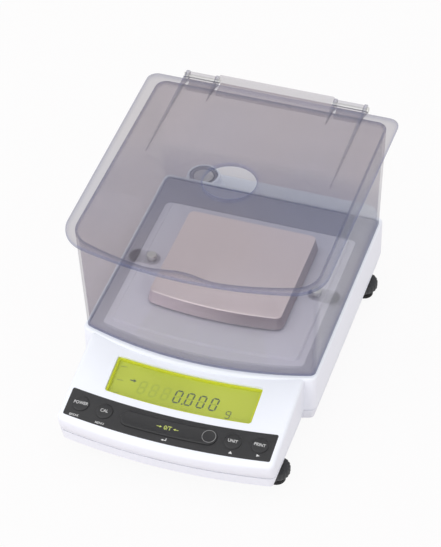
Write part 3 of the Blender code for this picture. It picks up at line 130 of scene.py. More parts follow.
def inset(shape, distance):
    """The sizes of an outline moved inwards by a distance on every side."""
    half_width, front, back, bow, front_corner, back_corner, *rest = shape
    least = 0.4 * MM
    return (half_width - distance, front + distance, back - distance, bow - distance,
            max(front_corner - distance, least), max(back_corner - distance, least), *rest)


def ring(curve, height):
    """A plan curve lifted to a height, which may be an array with one height for each point."""
    return np.column_stack([curve, np.broadcast_to(height, len(curve))])


def quarter(radius, steps=6):
    """Rounding of an edge: inset r(1 - cos t) and drop r(1 - sin t) for t from 0 to a right angle."""
    t = np.linspace(0, pi / 2, steps)
    return list(zip(radius * (1 - np.cos(t)), radius * (1 - np.sin(t))))


def skin(rings, caps=True, loop=False):
    """Vertices and faces of a grid of rings: quads between neighbours, and a face over each end."""
    grid = np.asarray(rings)
    rows, columns = grid.shape[:2]
    row = np.arange(rows if loop else rows - 1)[:, None]
    column = np.arange(columns)[None, :]
    beside = (column + 1) % columns
    above = (row + 1) % rows
    quads = np.stack([row * columns + column, row * columns + beside,
                      above * columns + beside, above * columns + column], -1).reshape(-1, 4)
    faces = quads.tolist()
    if caps and not loop:
        faces.append(list(range(columns))[::-1])
        faces.append(list(range((rows - 1) * columns, rows * columns)))
    return grid.reshape(-1, 3), faces


def revolve(profile, centre=(0, 0), steps=96, wave=None):
    """Turns (radius, height) points about a vertical axis: x = r cos a, y = r sin a.

    A radius of almost nothing closes an end. Wave may scale the radius with the angle.
    """
    a = np.arange(steps) * 2 * pi / steps
    rings = []
    for radius, height in profile:
        r = radius * (wave(a, radius) if wave else np.ones_like(a))
        rings.append(np.column_stack([centre[0] + r * np.cos(a), centre[1] + r * np.sin(a),
                                      np.full_like(a, height)]))
    return skin(rings)


def together(*skins):
    """Several skins in one mesh."""
    vertices, faces, start = [], [], 0
    for more, quads in skins:
        vertices.append(np.asarray(more))
        faces += [[i + start for i in face] for face in quads]
        start += len(more)
    return np.concatenate(vertices), faces


def circle(radius, centre=(0, 0), steps=64):
    """Points of a circle, x = cx + r cos a and y = cy + r sin a."""
    a = np.arange(steps) * 2 * pi / steps
    return np.column_stack([centre[0] + radius * np.cos(a), centre[1] + radius * np.sin(a)])


print("an outline has", len(outline(0.1, -0.1, 0.1, 0.3, 0.01, 0.01)), "points")

# %% [markdown]
# ## From arrays to pieces
#
# A piece is a mesh, a finish and the body that it moves with. The mesh gets its normals turned
# outwards and its soft edges shaded smooth, while an edge that turns by more than a set angle stays
# crisp. A piece that stands for a solid of the model says so, and the plain solid is then hidden.

# %% Piece helper
CRISP_TURN, COPY_CRISP_TURN = radians(32), radians(28)


def new_object(name, data):
    """An object that holds the data, linked into the scene."""
    thing = bpy.data.objects.new(name, data)
    bpy.context.collection.objects.link(thing)
    return thing


def piece(name, surface, finish, body, stands_for=(), rim=None):
    """Makes a surface an object that rides on a body, with its place in its mesh."""
    vertices, faces = surface
    mesh = bpy.data.meshes.new(name)
    mesh.from_pydata(np.asarray(vertices).tolist(), [], faces)
    work = bmesh.new()
    work.from_mesh(mesh)
    bmesh.ops.recalc_face_normals(work, faces=work.faces)
    work.to_mesh(mesh)
    work.free()
    if rim is not None:
        mesh.attributes.new("rim", "FLOAT", "POINT").data.foreach_set("value", np.ravel(rim).astype("f"))
    mesh.shade_smooth()
    mesh.set_sharp_from_angle(angle=CRISP_TURN)
    mesh.materials.append(finish)
    thing = new_object(name, mesh)
    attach(thing, body)
    if stands_for:
        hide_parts(*stands_for)
    return thing


# %% [markdown]
# ## Finishes
#
# The colours are written as the eye sees them, from 0 to 255, and turned into the linear values that
# Blender mixes light with. The first group of nodes is the fine spark-eroded grain of a moulding: it
# varies the colour a little, the sheen a little more, and gives a very shallow bump.

# %% Colour helper


def paint(red, green, blue, alpha=1.0):
    """Linear colour from 0-255 screen values: ((c + 0.055) / 1.055) to the power 2.4 above a toe."""
    c = np.array([red, green, blue]) / 255
    c = np.where(c <= 0.04045, c / 12.92, ((c + 0.055) / 1.055) ** 2.4)
    return (*c.tolist(), alpha)


# %% Node helpers


def new_group(name, inputs, outputs):
    """A shader node group with named sockets, given as (name, kind, value)."""
    group = bpy.data.node_groups.new(name, "ShaderNodeTree")
    for label, kind, value in inputs:
        socket = group.interface.new_socket(label, in_out="INPUT", socket_type="NodeSocket" + kind)
        socket.default_value = value
    for label, kind in outputs:
        group.interface.new_socket(label, in_out="OUTPUT", socket_type="NodeSocket" + kind)
    return group, group.nodes.new("NodeGroupInput").outputs, group.nodes.new("NodeGroupOutput").inputs


def node(tree, kind, settings=None, **links):
    """Adds a node. Each link names an input, or its number after an i, and gives a value or a socket."""
    made = tree.nodes.new("ShaderNode" + kind)
    for key, value in (settings or {}).items():
        setattr(made, key, value)
    for label, value in links.items():
        numbered = label[0] == "i" and label[1:].isdigit()
        socket = made.inputs[int(label[1:]) if numbered else label.replace("_", " ")]
        if isinstance(value, bpy.types.NodeSocket):
            tree.links.new(value, socket)
        else:
            socket.default_value = value
    return made


def maths(tree, operation, *values):
    """The result of a Math node on values or sockets, in their order."""
    links = {"i%d" % place: value for place, value in enumerate(values)}
    return node(tree, "Math", {"operation": operation}, **links).outputs[0]


def ranged(tree, value, low, high, to_low=0.0, to_high=1.0):
    """A value carried from the range low to high over to another range, and held at its ends."""
    return node(tree, "MapRange", Value=value, i1=low, i2=high, i3=to_low, i4=to_high).outputs[0]


def noise(tree, where, scale, detail, **values):
    """Soft noise between 0 and 1 at a place."""
    return node(tree, "TexNoise", Vector=where, Scale=scale, Detail=detail, **values).outputs["Fac"]


def blended(tree, factor, first, second, way="MIX"):
    """A colour between two others, or their product where the way is MULTIPLY and the factor is 1."""
    settings = {"data_type": "RGBA", "blend_type": way}
    return node(tree, "Mix", settings, i0=factor, i6=first, i7=second).outputs[2]


def two_tone(tree, value, first, second, start=0.0, end=1.0):
    """A ramp from one colour to another between two values."""
    ramp = node(tree, "ValToRGB", Fac=value)
    for element, colour, place in zip(ramp.color_ramp.elements, (first, second), (start, end)):
        element.color, element.position = colour, place
    return ramp.outputs[0]


def object_place(tree):
    """The outputs X, Y and Z of a point's place in the model."""
    return node(tree, "SeparateXYZ", Vector=node(tree, "TexCoord").outputs["Object"]).outputs


def darkened(tree, tint, value, low, high, most):
    """A tint times a share that falls from 1 to 1 - most as a value falls from high to low."""
    share = ranged(tree, value, low, high, maths(tree, "SUBTRACT", 1.0, most), 1.0)
    return node(tree, "VectorMath", {"operation": "SCALE"}, Vector=tint, Scale=share).outputs[0]


def slant_cover(tree, power, face_on, grazing):
    """A cover that grows from face on to a slant: the facing ratio to a power sets the share."""
    facing = node(tree, "LayerWeight", Blend=0.5).outputs["Facing"]
    return ranged(tree, maths(tree, "POWER", facing, power), 0.0, 1.0, face_on, grazing)


def put_out(group, outputs, *values):
    """Joins sockets to a group's outputs, in their order."""
    for socket, value in zip(outputs, values):
        group.links.new(value, socket)


def material(name, **values):
    """A material whose Principled shader has the given plain values on its own sockets."""
    made = bpy.data.materials.new(name)
    made.use_nodes = True
    shader = made.node_tree.nodes["Principled BSDF"]
    for label, value in values.items():
        shader.inputs[label.replace("_", " ")].default_value = value
    return made, made.node_tree, shader


SURFACE = {"Colour": "Base Color", "Roughness": "Roughness", "Normal": "Normal"}
SURFACE_SOCKETS = [("Colour", "Color"), ("Roughness", "Float"), ("Normal", "Vector")]


def place_group(tree, group, shader, **values):
    """Puts a group into a material with its own values and joins its outputs to the shader."""
    user = tree.nodes.new("ShaderNodeGroup")
    user.node_tree = group
    for label, value in values.items():
        user.inputs[label.replace("_", " ")].default_value = value
    for output, target in SURFACE.items():
        tree.links.new(user.outputs[output], shader.inputs[target])
    return user


def shade_where(made, mask, colour):
    """Multiplies a material's colour by another one where a mask is 1."""
    shader = made.node_tree.nodes["Principled BSDF"]
    plain = shader.inputs["Base Color"].links[0].from_socket
    product = blended(made.node_tree, mask, plain, colour, "MULTIPLY")
    made.node_tree.links.new(product, shader.inputs["Base Color"])


# %% Grain of mouldings
grain, given, made_outputs = new_group(
    "Moulded grain",
    [("Tint", "Color", (0.8, 0.8, 0.8, 1)), ("Variation", "Float", 0.03), ("Sheen low", "Float", 0.4),
     ("Sheen high", "Float", 0.5), ("Grain size", "Float", 0.35), ("Grain depth", "Float", 0.05)],
    SURFACE_SOCKETS)
where = node(grain, "TexCoord").outputs["Object"]
fine = noise(grain, where, maths(grain, "DIVIDE", 1000.0, given["Grain size"]), 3.0)
broad = noise(grain, where, 28.0, 2.0)
shaded = darkened(grain, given["Tint"], broad, 0.35, 0.65, given["Variation"])
sheen = ranged(grain, broad, 0.3, 0.7, given["Sheen low"], given["Sheen high"])
bump = node(grain, "Bump", Strength=given["Grain depth"], Distance=0.0002, Height=fine).outputs[0]
put_out(grain, made_outputs, shaded, sheen, bump)
print("grain group has", len(grain.nodes), "nodes")

SHEEN_SPREAD = 0.05


def moulded(name, colour, rough, size=0.35, depth=0.05, variation=0.03, **values):
    """A moulded plastic with the shared grain, whose roughness wanders about a middle value."""
    made, tree, shader = material(name, **values)
    place_group(tree, grain, shader, Tint=colour, Variation=variation, Sheen_low=rough - SHEEN_SPREAD,
                Sheen_high=rough + SHEEN_SPREAD, Grain_size=size, Grain_depth=depth)
    return made


white_shell = moulded("white shell", paint(240, 243, 251), 0.42, size=0.5, depth=0.04, variation=0.012)
pad_dark = moulded("keypad foil", paint(39, 39, 41), 0.46, size=0.25, depth=0.08, variation=0.05)
key_dark = moulded("key rubber", paint(35, 35, 37), 0.40, size=0.3, depth=0.08, variation=0.05)
wheel_dark = moulded("wheel plastic", paint(46, 47, 50), 0.48, size=0.4, depth=0.15)
rubber = moulded("foot rubber", paint(30, 30, 31), 0.8, size=0.6, depth=0.3)
board_green = moulded("solder mask", paint(26, 92, 54), 0.35, size=1.5, depth=0.1, variation=0.15)
lamp_white = moulded("light guide", paint(226, 232, 190), 0.4)
lime = moulded("lime border", paint(182, 188, 12), 0.5, size=0.4, Emission_Color=paint(176, 182, 10),
               Emission_Strength=0.35)

# %% [markdown]
# The floor under the shield only gets light that has crossed the smoky plastic, so it looks greyer
# than the rest of the same white moulding. A darker copy of the floor would do it, at the price of a
# seam. Here a mask in the material shades it instead: it is 1 above the deck, between the shield's
# sides, before its back wall, and behind a curve y = x^2 / 2R that follows the bowed front.

# %% Shade under the shield
SHADE_MARGIN, SHADE_SINK = 1.5 * MM, 0.05 * MM
SHADE_HALF_WIDTH, SHADE_BOW = 91.5 * MM, 0.3
FRONT_SHADE, BACK_SHADE = (0.86, 0.80, 0.83, 1), (0.66, 0.64, 0.71, 1)

tree = white_shell.node_tree
place = object_place(tree)
curved = maths(tree, "MULTIPLY", maths(tree, "MULTIPLY", place["X"], place["X"]), -1 / (2 * SHADE_BOW))
mask = maths(tree, "GREATER_THAN", maths(tree, "ADD", curved, place["Y"]), SHIELD_FRONT + SHADE_MARGIN)
for test, value, bound in (("LESS_THAN", place["Y"], SHIELD_BACK - SHADE_MARGIN),
                           ("LESS_THAN", maths(tree, "ABSOLUTE", place["X"]), SHADE_HALF_WIDTH),
                           ("GREATER_THAN", place["Z"], DECK - SHADE_SINK)):
    mask = maths(tree, "MULTIPLY", mask, maths(tree, test, value, bound))
depth = ranged(tree, place["Y"], SHIELD_FRONT, SHIELD_BACK)
shade_where(white_shell, mask, two_tone(tree, depth, FRONT_SHADE, BACK_SHADE))
print("white shell has", len(tree.nodes), "nodes")

# %% [markdown]
# Metal parts share a second group: long fine scratches along one direction. A noise that is
# stretched a hundred times along X and pressed together along Y makes them, because a brush leaves
# lines that are far longer than they are wide. The pan, the pins and the post use it.

# %% Brushed metal
brushed, given, made_outputs = new_group(
    "Brushed lines",
    [("Tint", "Color", (0.6, 0.6, 0.6, 1)), ("Stretch", "Vector", (20, 2500, 400)),
     ("Contrast", "Float", 0.06), ("Sheen", "Float", 0.3), ("Sheen spread", "Float", 0.08),
     ("Depth", "Float", 0.05)],
    SURFACE_SOCKETS)
where = node(brushed, "TexCoord").outputs["Object"]
drawn = node(brushed, "VectorMath", {"operation": "MULTIPLY"}, i0=where, i1=given["Stretch"]).outputs[0]
lines = noise(brushed, drawn, 1.0, 4.0)
cloud = noise(brushed, where, 22.0, 1.0)
shaded = darkened(brushed, given["Tint"], lines, 0.3, 0.7, given["Contrast"])
sheen = maths(brushed, "MULTIPLY_ADD", cloud, given["Sheen spread"], given["Sheen"])
bump = node(brushed, "Bump", Strength=given["Depth"], Distance=0.0001, Height=lines).outputs[0]
put_out(brushed, made_outputs, shaded, sheen, bump)
print("brushed group has", len(brushed.nodes), "nodes")


def metal(name, colour, sheen, stretch=(20, 2500, 400), contrast=0.06):
    """A metal with the shared brushed lines."""
    made, tree, shader = material(name, Metallic=1.0)
    place_group(tree, brushed, shader, Tint=colour, Stretch=stretch, Contrast=contrast, Sheen=sheen)
    return made


# The pink in the pan's steel is a painted reflection of the warm room around it, not the colour of the steel.
pan_steel = metal("pan steel", paint(243, 228, 229), 0.36, contrast=0.05)
plain_steel = metal("plated steel", paint(212, 211, 208), 0.3, stretch=(900, 900, 60))
alloy = metal("milled alloy", paint(205, 207, 210), 0.36, stretch=(400, 400, 900), contrast=0.1)
copper = metal("copper wire", paint(196, 120, 82), 0.35, stretch=(60, 60, 5000), contrast=0.4)

# %% [markdown]
# Below its lip the pan mirrors the shaded deck, and its tone falls from left to right. A path tracer
# finds part of that by itself. The ramp is painted reflected shade that adds what the real room gave: it
# starts just under the lip, so the flat top keeps the plain colour of the steel.

# %% Painted reflected shade on the pan's skirt
SKIRT_START, SKIRT_FULL = 0.4 * MM, 1.1 * MM
SKIRT_LEFT, SKIRT_RIGHT = -48 * MM, 30 * MM
SKIRT_LEFT_REFLECTION, SKIRT_RIGHT_REFLECTED_SHADE = (1.0, 1.0, 1.0, 1), (0.5, 0.5, 0.5, 1)

tree = pan_steel.node_tree
place = object_place(tree)
under_lip = ranged(tree, place["Z"], pan_high.z - SKIRT_START, pan_high.z - SKIRT_FULL)
across = ranged(tree, place["X"], SKIRT_LEFT, SKIRT_RIGHT)
# Painted reflected shade: below the lip the steel darkens from left to right.
shade_where(pan_steel, under_lip, two_tone(tree, across, SKIRT_LEFT_REFLECTION, SKIRT_RIGHT_REFLECTED_SHADE))
print("pan steel has", len(tree.nodes), "nodes")

# %% [markdown]
# The shield is the finish that makes this object. A real smoky wall takes away part of the light that
# crosses it, more when the light crosses at a slant, and its cut edges look darker and bluer because
# light travels through them lengthwise. Alpha does that here: each wall has an outer and an inner
# face, and each face covers about a fifth of what lies behind. Layer Weight raises the cover at
# grazing angles, and the attribute "rim" marks the edges.

# %% Smoky plastic
smoke, given, made_outputs = new_group(
    "Smoky plastic",
    [("Tint", "Color", (0.2, 0.2, 0.25, 1)), ("Second tint", "Color", (0.2, 0.2, 0.25, 1)),
     ("Edge tint", "Color", (0.1, 0.1, 0.2, 1)), ("Sheen", "Float", 0.05), ("Wipe marks", "Float", 0.05)],
    [("Colour", "Color"), ("Rim", "Float"), ("Roughness", "Float"), ("Normal", "Vector")])
where = node(smoke, "TexCoord").outputs["Object"]
edge = node(smoke, "Attribute", {"attribute_name": "rim"}).outputs["Fac"]
drift = ranged(smoke, noise(smoke, where, 7.0, 1.0), 0.35, 0.65)
wall_tone = blended(smoke, drift, given["Tint"], given["Second tint"])
tone = blended(smoke, edge, wall_tone, given["Edge tint"])
wiped = ranged(smoke, noise(smoke, where, 16.0, 4.0, Roughness=0.6), 0.35, 0.75, 0.0, given["Wipe marks"])
sheen = maths(smoke, "ADD", wiped, given["Sheen"])
bump = node(smoke, "Bump", Strength=0.15, Distance=0.0008, Height=noise(smoke, where, 9.0, 1.0)).outputs[0]
put_out(smoke, made_outputs, tone, edge, sheen, bump)
COOLER = (0.8, 0.97, 1.2)
FADE_END = SHIELD_BACK - 30 * MM


def smoky(name, tint, edge_tint, cover, edge_cover, grazing, front_share=1.0):
    """See-through plastic: cover face on, more at a slant, and edge cover at its rims.

    Its cover at the shield's front is the front share of what it is at the back.
    """
    made, tree, shader = material(name, IOR=1.7)
    made.surface_render_method = "BLENDED"
    second = (*(channel * share for channel, share in zip(tint, COOLER)), 1.0)
    user = place_group(tree, smoke, shader, Tint=tint, Second_tint=second, Edge_tint=edge_tint)
    flat = slant_cover(tree, 3.0, cover, grazing)
    full = node(tree, "Mix", i0=user.outputs["Rim"], i2=flat, i3=edge_cover).outputs[0]
    share = ranged(tree, object_place(tree)["Y"], SHIELD_FRONT, FADE_END, front_share, 1.0)
    tree.links.new(maths(tree, "MULTIPLY", full, share), shader.inputs["Alpha"])
    return made


shield_smoke = smoky("shield smoke", paint(118, 114, 132), paint(92, 102, 148), 0.15, 0.5, 0.37)
lid_smoke = smoky("lid smoke", paint(118, 112, 124), paint(98, 108, 150), 0.235, 0.4, 0.45)
frame_smoke = smoky("frame smoke", paint(118, 114, 142), paint(104, 106, 140), 0.115, 0.24, 0.36, 0.2)
tab_smoke = smoky("tab smoke", paint(176, 172, 182), paint(150, 150, 166), 0.06, 0.12, 0.2)
print("smoky group has", len(smoke.nodes), "nodes")

# %% Clear and lit finishes
window_clear, tree, shader = material("window clear", IOR=1.5, Roughness=0.06,
                                      Base_Color=paint(228, 236, 190))
window_clear.surface_render_method = "BLENDED"
tree.links.new(slant_cover(tree, 5.0, 0.025, 0.6), shader.inputs["Alpha"])

vial_clear = moulded("level vial", paint(196, 192, 190), 0.1, depth=0.0, Coat_Weight=0.6)
ring_grey = moulded("level ring", paint(150, 148, 152), 0.4)
segment_dark = moulded("segment on", paint(92, 104, 84), 0.5, depth=0.0)
segment_ghost = moulded("segment off", paint(168, 182, 66), 0.5, depth=0.0, variation=0.0)
print_white = moulded("print white", paint(214, 214, 214), 0.5, depth=0.0)
print_grey = moulded("print grey", paint(150, 150, 150), 0.5, depth=0.0)
print_lime = moulded("print lime", paint(206, 218, 110), 0.5, depth=0.0)

glass_field, tree, shader = material("display field", Coat_Weight=0.2)
where = node(tree, "TexCoord").outputs["Object"]
mixed = maths(tree, "MULTIPLY_ADD", noise(tree, where, 900.0, 2.0), 0.35, noise(tree, where, 14.0, 1.0))
field = two_tone(tree, mixed, paint(176, 188, 50), paint(198, 208, 78), 0.35, 0.95)
tree.links.new(field, shader.inputs["Base Color"])
print("materials:", len(bpy.data.materials))

# %% [markdown]
# ## The upper case
#
# One white moulding carries everything: the deck under the shield, the sloping console, and a low
# tail with the tower of the level. Each is a stack of outlines: a wall that rises from the parting
# line, a rounding at its top edge, and a top face. They run into each other inside the moulding,
# where nothing shows, so each is skinned by itself and all are put in one mesh.

# %% Deck and platform
BLOCK = (95 * MM, SHIELD_FRONT - 3.5 * MM, SHIELD_BACK + 4.2 * MM, 0.3, 6 * MM, 6 * MM)
PLATFORM = (76.5 * MM, SHIELD_FRONT + 20 * MM, SHIELD_BACK - 31.8 * MM, 0.49, 5 * MM, 5 * MM)
DECK_EDGE = 2.0 * MM
PARTING_GAP, PARTING_ROUND = 0.1 * MM, 0.5 * MM
PLATFORM_SLOPE = [(0.6, 0), (0.2, 0.1), (0, 0.4), (-0.9, 1.8), (-1.15, 2.1), (-1.6, 2.2)]
PLATFORM_FLAT, PLATFORM_TOP = 1.6 * MM, DECK + 2.2 * MM
POST_HOLE, POST_HOLE_DEPTH = 8 * MM, 4 * MM


def from_parting(plan):
    """The two rings at the foot of a wall that rises from the parting line with a small rounding."""
    return [ring(outline(*inset(plan, PARTING_ROUND)), PARTING + PARTING_GAP),
            ring(outline(*plan), PARTING + PARTING_GAP + PARTING_ROUND)]


def around(curve, centre, radius):
    """A circle whose points lie at the same polar angles as a curve's points."""
    a = np.arctan2(curve[:, 1] - centre[1], curve[:, 0] - centre[0])
    return np.column_stack([centre[0] + radius * np.cos(a), centre[1] + radius * np.sin(a)])


rings = from_parting(BLOCK)
rings += [ring(outline(*inset(BLOCK, i)), DECK - d) for i, d in quarter(DECK_EDGE)]
rings += [ring(outline(*inset(PLATFORM, -out * MM)), DECK + up * MM) for out, up in PLATFORM_SLOPE]
post_hole = around(outline(*inset(PLATFORM, PLATFORM_FLAT)), (0, LOAD_Y), POST_HOLE)
rings += [ring(post_hole, PLATFORM_TOP), ring(post_hole, PLATFORM_TOP - POST_HOLE_DEPTH)]
deck_skin = skin(rings)
print("deck has", len(deck_skin[0]), "points")

# %% [markdown]
# The console's top face slopes by twelve degrees. Its rings are flat outlines whose height follows
# the slope, so the top is a true plane. The window of the display is cut the same way as the deck's
# hole: the last rings are the window's own outline, sampled at the polar angles of the console's
# outline, and they go down to make the walls of the opening.

# %% Console
SLOPE = radians(12)
CONSOLE = Vector((0, NOSE + 39.4 * MM, DECK - 10.3 * MM))
ALONG = np.array([0, cos(SLOPE), sin(SLOPE)])
OUT = np.array([0, -sin(SLOPE), cos(SLOPE)])
PANEL_BOW = 0.6


def on_console(x, v, depth=0.0):
    """Points in the console's plane: x to the right, v up the slope, and depth out of it."""
    x, v, depth = np.broadcast_arrays(np.asarray(x, float), v, depth)
    return np.array(CONSOLE) + x[..., None] * [1, 0, 0] + v[..., None] * ALONG + depth[..., None] * OUT


def rise(x):
    """How far the bowed edges have risen at a distance x from the middle: R - sqrt(R^2 - x^2)."""
    return PANEL_BOW - np.sqrt(PANEL_BOW ** 2 - np.asarray(x) ** 2)


def panel_curve(half_width, low, high, corner, grow=0.0):
    """Closed curve in the console's plane with two bowed long edges and rounded corners."""
    half, low, high, r = half_width + grow, low - grow, high + grow, corner + grow
    x = np.linspace(-half + r, half - r, 41)
    t = np.linspace(0, pi / 2, 8)[1:-1]
    ends = np.linspace(0, 1, 9)
    lower = np.column_stack([x, low + rise(x)])
    upper = np.column_stack([x[::-1], high + rise(x)])
    low_end, high_end = low + rise(half - r) + r, high + rise(half - r) - r

    def bend(cx, cv, start):
        return np.column_stack([cx + r * np.cos(start + t), cv + r * np.sin(start + t)])

    side = low_end + (high_end - low_end) * ends
    return np.concatenate([
        lower, bend(half - r, low_end, -pi / 2), np.column_stack([np.full(9, half), side]),
        bend(half - r, high_end, 0), upper, bend(r - half, high_end, pi / 2),
        np.column_stack([np.full(9, -half), side[::-1]]), bend(r - half, low_end, pi)])


def panel_rings(shape, steps):
    """Rings of a panel's outline. A step is how far it grows and its depth, both in millimetres."""
    return [on_console(*panel_curve(*shape, grow=grow * MM).T, depth * MM) for grow, depth in steps]


def slope_height(y):
    """Height of the console's plane at a place along Y."""
    return CONSOLE.z + (y - CONSOLE.y) * np.tan(SLOPE)


def at_angles(curve, centre, angles):
    """Points of a closed star-shaped curve at the given polar angles about a centre.

    The radius is interpolated between the curve's own points, taken in order of angle.
    """
    own = np.arctan2(curve[:, 1] - centre[1], curve[:, 0] - centre[0])
    radius = np.hypot(curve[:, 1] - centre[1], curve[:, 0] - centre[0])
    order = np.argsort(own)
    r = np.interp(angles, own[order], radius[order], period=2 * pi)
    return np.column_stack([centre[0] + r * np.cos(angles), centre[1] + r * np.sin(angles)])


DISPLAY = (58.7 * MM, -3.4 * MM, 29.8 * MM, 1.5 * MM)
KEYPAD = (82.4 * MM, -34.4 * MM, -10.0 * MM, 1.5 * MM)
NOSE_FOOT, NOSE_BELLY, BELLY_DROP, NOSE_EDGE = 3 * MM, 0.5 * MM, 8 * MM, 3.2 * MM
WINDOW_STEPS = [(1.006, 0), (1.0, -0.25), (1.0, -4)]
WINDOW_MIDDLE = (0, 14 * MM)


def console_plan(setback):
    """The console's plan, with its bowed front set back from the nose."""
    return (86.5 * MM, NOSE + setback, SHIELD_FRONT + 10.6 * MM, 0.48, 5 * MM, 1 * MM)


rings = from_parting(console_plan(NOSE_FOOT))
curve = outline(*console_plan(NOSE_BELLY))
rings.append(ring(curve, slope_height(curve[:, 1]) - BELLY_DROP))
for i, d in quarter(NOSE_EDGE, 9):
    curve = outline(*inset(console_plan(0), i))
    rings.append(ring(curve, slope_height(curve[:, 1]) - d))
along = (curve[:, 1] - CONSOLE.y) / cos(SLOPE)
angles = np.arctan2(along - WINDOW_MIDDLE[1], curve[:, 0] - WINDOW_MIDDLE[0])
opening = at_angles(panel_curve(*DISPLAY), WINDOW_MIDDLE, angles)
for grow, depth in WINDOW_STEPS:
    edge_points = (opening - WINDOW_MIDDLE) * grow + WINDOW_MIDDLE
    rings.append(on_console(*edge_points.T, depth * MM))
console_skin = skin(rings, caps=False)
print("console top slopes over", round(float(np.ptp(curve[:, 1])) / MM, 1), "mm")

# %% [markdown]
# The tail is a low box behind the shield. The level stands on it in a flared tower, because the
# user has to see it from the front, over the shield's frame. The tower is a turned profile.

# %% Tail and tower
TAIL_PLAN = (84 * MM, SHIELD_BACK - 10 * MM, TAIL, 0.48, 1 * MM, 12 * MM)
LEVEL = (-66 * MM, TAIL - 19.5 * MM)
TAIL_TOP = 46 * MM
rings = from_parting(TAIL_PLAN)
rings += [ring(outline(*inset(TAIL_PLAN, i)), TAIL_TOP - d) for i, d in quarter(DECK_EDGE)]
tail_skin = skin(rings)
TOWER_TOP, TOWER_EDGE, WELL_DEPTH, WELL_RADIUS = 58 * MM, 1.2 * MM, 6 * MM, 12.1 * MM
TOWER_FLARE = [(18.5, -1), (17, 0.6), (15.9, 3), (14.6, 9)]
tower = [(radius * MM, TAIL_TOP + up * MM) for radius, up in TOWER_FLARE]
tower += [(14.3 * MM - i, TOWER_TOP - d) for i, d in quarter(TOWER_EDGE)]
tower += [(WELL_RADIUS, TOWER_TOP), (WELL_RADIUS, TOWER_TOP - WELL_DEPTH)]
tower_skin = revolve(tower, LEVEL)
upper = piece("upper_case_moulding", together(deck_skin, console_skin, tail_skin, tower_skin), white_shell,
              "case", ["upper_case"])
print("upper case:", len(upper.data.polygons), "faces")

# %% [markdown]
# ## The lower case
#
# The tray has bosses, screw wells and holes that already are right in the model. Its facets are all
# that has to go, so this piece is a copy of the model's mesh, with its doubles merged and its gentle
# turns shaded smooth. The inner parts keep the model's own mesh, and only their finish changes.

# %% Lower case and inner parts


def smooth_copy(name, source, finish, body):
    """A copy of a node's mesh, merged and shaded smooth, that stands for the node."""
    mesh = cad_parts[source].data.copy()
    work = bmesh.new()
    work.from_mesh(mesh)
    bmesh.ops.remove_doubles(work, verts=work.verts, dist=0.00002)
    bmesh.ops.dissolve_limit(work, angle_limit=radians(0.5), verts=work.verts, edges=work.edges)
    bmesh.ops.recalc_face_normals(work, faces=work.faces)
    work.to_mesh(mesh)
    work.free()
    mesh.shade_smooth()
    mesh.set_sharp_from_angle(angle=COPY_CRISP_TURN)
    mesh.materials.clear()
    mesh.materials.append(finish)
    thing = new_object(name, mesh)
    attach(thing, body)
    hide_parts(source)


smooth_copy("lower_case_tray", "lower_case", white_shell, "case")

inner_finishes = {
    "force_cell": alloy, "lever_arm": alloy, "pan_support": alloy, "load_post": plain_steel,
    "magnet_housing": plain_steel, "cell_bolt_left": plain_steel, "cell_bolt_right": plain_steel,
    "force_coil": copper, "key_board": board_green, "main_board": board_green,
    "display_backlight": lamp_white, "serial_port": plain_steel, "power_inlet": wheel_dark,
    "hinge_pin_left": plain_steel, "hinge_pin_right": plain_steel,
}
CORNERS = ("front_left", "front_right", "rear_left", "rear_right")
inner_finishes.update({"case_screw_" + corner: plain_steel for corner in CORNERS})
for name, finish in inner_finishes.items():
    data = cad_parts[name].data
    data.materials.clear()
    data.materials.append(finish)
print("inner parts finished:", len(inner_finishes))

# %% [markdown]
# ## The display
#
# Under the clear window the lime border goes down to the glass. The digits are seven-segment
# figures: each segment is a bar with pointed ends, and the figure leans to the right. The dark ones
# show 0.000 g. The ones that are switched off still show as faint shapes on a real display.

# %% Window, border and glass
GLASS_DEPTH = -4.8
GLASS_TOP = GLASS_DEPTH * MM
WINDOW_PANE = [(-0.3, -1.6), (-0.3, -0.4), (-0.5, -0.2)]
BORDER = [(3, -6.8), (3, -4.4), (-0.3, -4.4), (-0.3, -1.9), (-1.5, -1.9), (-1.5, -6.8)]
GLASS = [(-1.6, -6.6), (-1.6, GLASS_DEPTH)]
piece("display_window_pane", skin(panel_rings(DISPLAY, WINDOW_PANE)), window_clear, "case",
      ["display_window"])
piece("display_border", skin(panel_rings(DISPLAY, BORDER), loop=True), lime, "case", ["display_frame"])
piece("display_glass_plate", skin(panel_rings(DISPLAY, GLASS)), glass_field, "case", ["display_glass"])
print("display glass lies %.1f mm below the console's top" % -GLASS_DEPTH)

# %% Seven-segment figures
DIGIT_HEIGHT, DIGIT_WIDTH, BAR, LEAN = 12.0 * MM, 6.2 * MM, 1.3 * MM, 0.11


def bar(start, end, width):
    """A bar with pointed ends between two points, as six corners."""
    start, end = np.array(start, float), np.array(end, float)
    way = (end - start) / np.linalg.norm(end - start)
    side = np.array([-way[1], way[0]]) * width / 2
    gap, point = 0.16 * width, width / 2
    a, b = start + way * gap, end - way * gap
    return np.array([a, a + way * point + side, b - way * point + side, b, b - way * point - side,
                     a + way * point - side])


def figure(centre, segments, height=DIGIT_HEIGHT, width=DIGIT_WIDTH, stroke=BAR):
    """The named segments of a seven-segment figure: a is on top, b to f go clockwise, g is the middle."""
    x, y = width / 2 - stroke / 2, height / 2 - stroke / 2
    corners = {"a": ((-x, y), (x, y)), "b": ((x, y), (x, 0)), "c": ((x, 0), (x, -y)),
               "d": ((-x, -y), (x, -y)), "e": ((-x, 0), (-x, -y)), "f": ((-x, y), (-x, 0)),
               "g": ((-x, 0), (x, 0))}
    bars = []
    for name in segments:
        points = bar(*corners[name], stroke)
        points[:, 0] += points[:, 1] * LEAN
        bars.append(points + centre)
    return bars


def plate(shapes, low, high):
    """Flat shapes in the console's plane as thin closed plates between two depths."""
    return together(*(skin([on_console(*np.asarray(s).T, low), on_console(*np.asarray(s).T, high)])
                      for s in shapes))


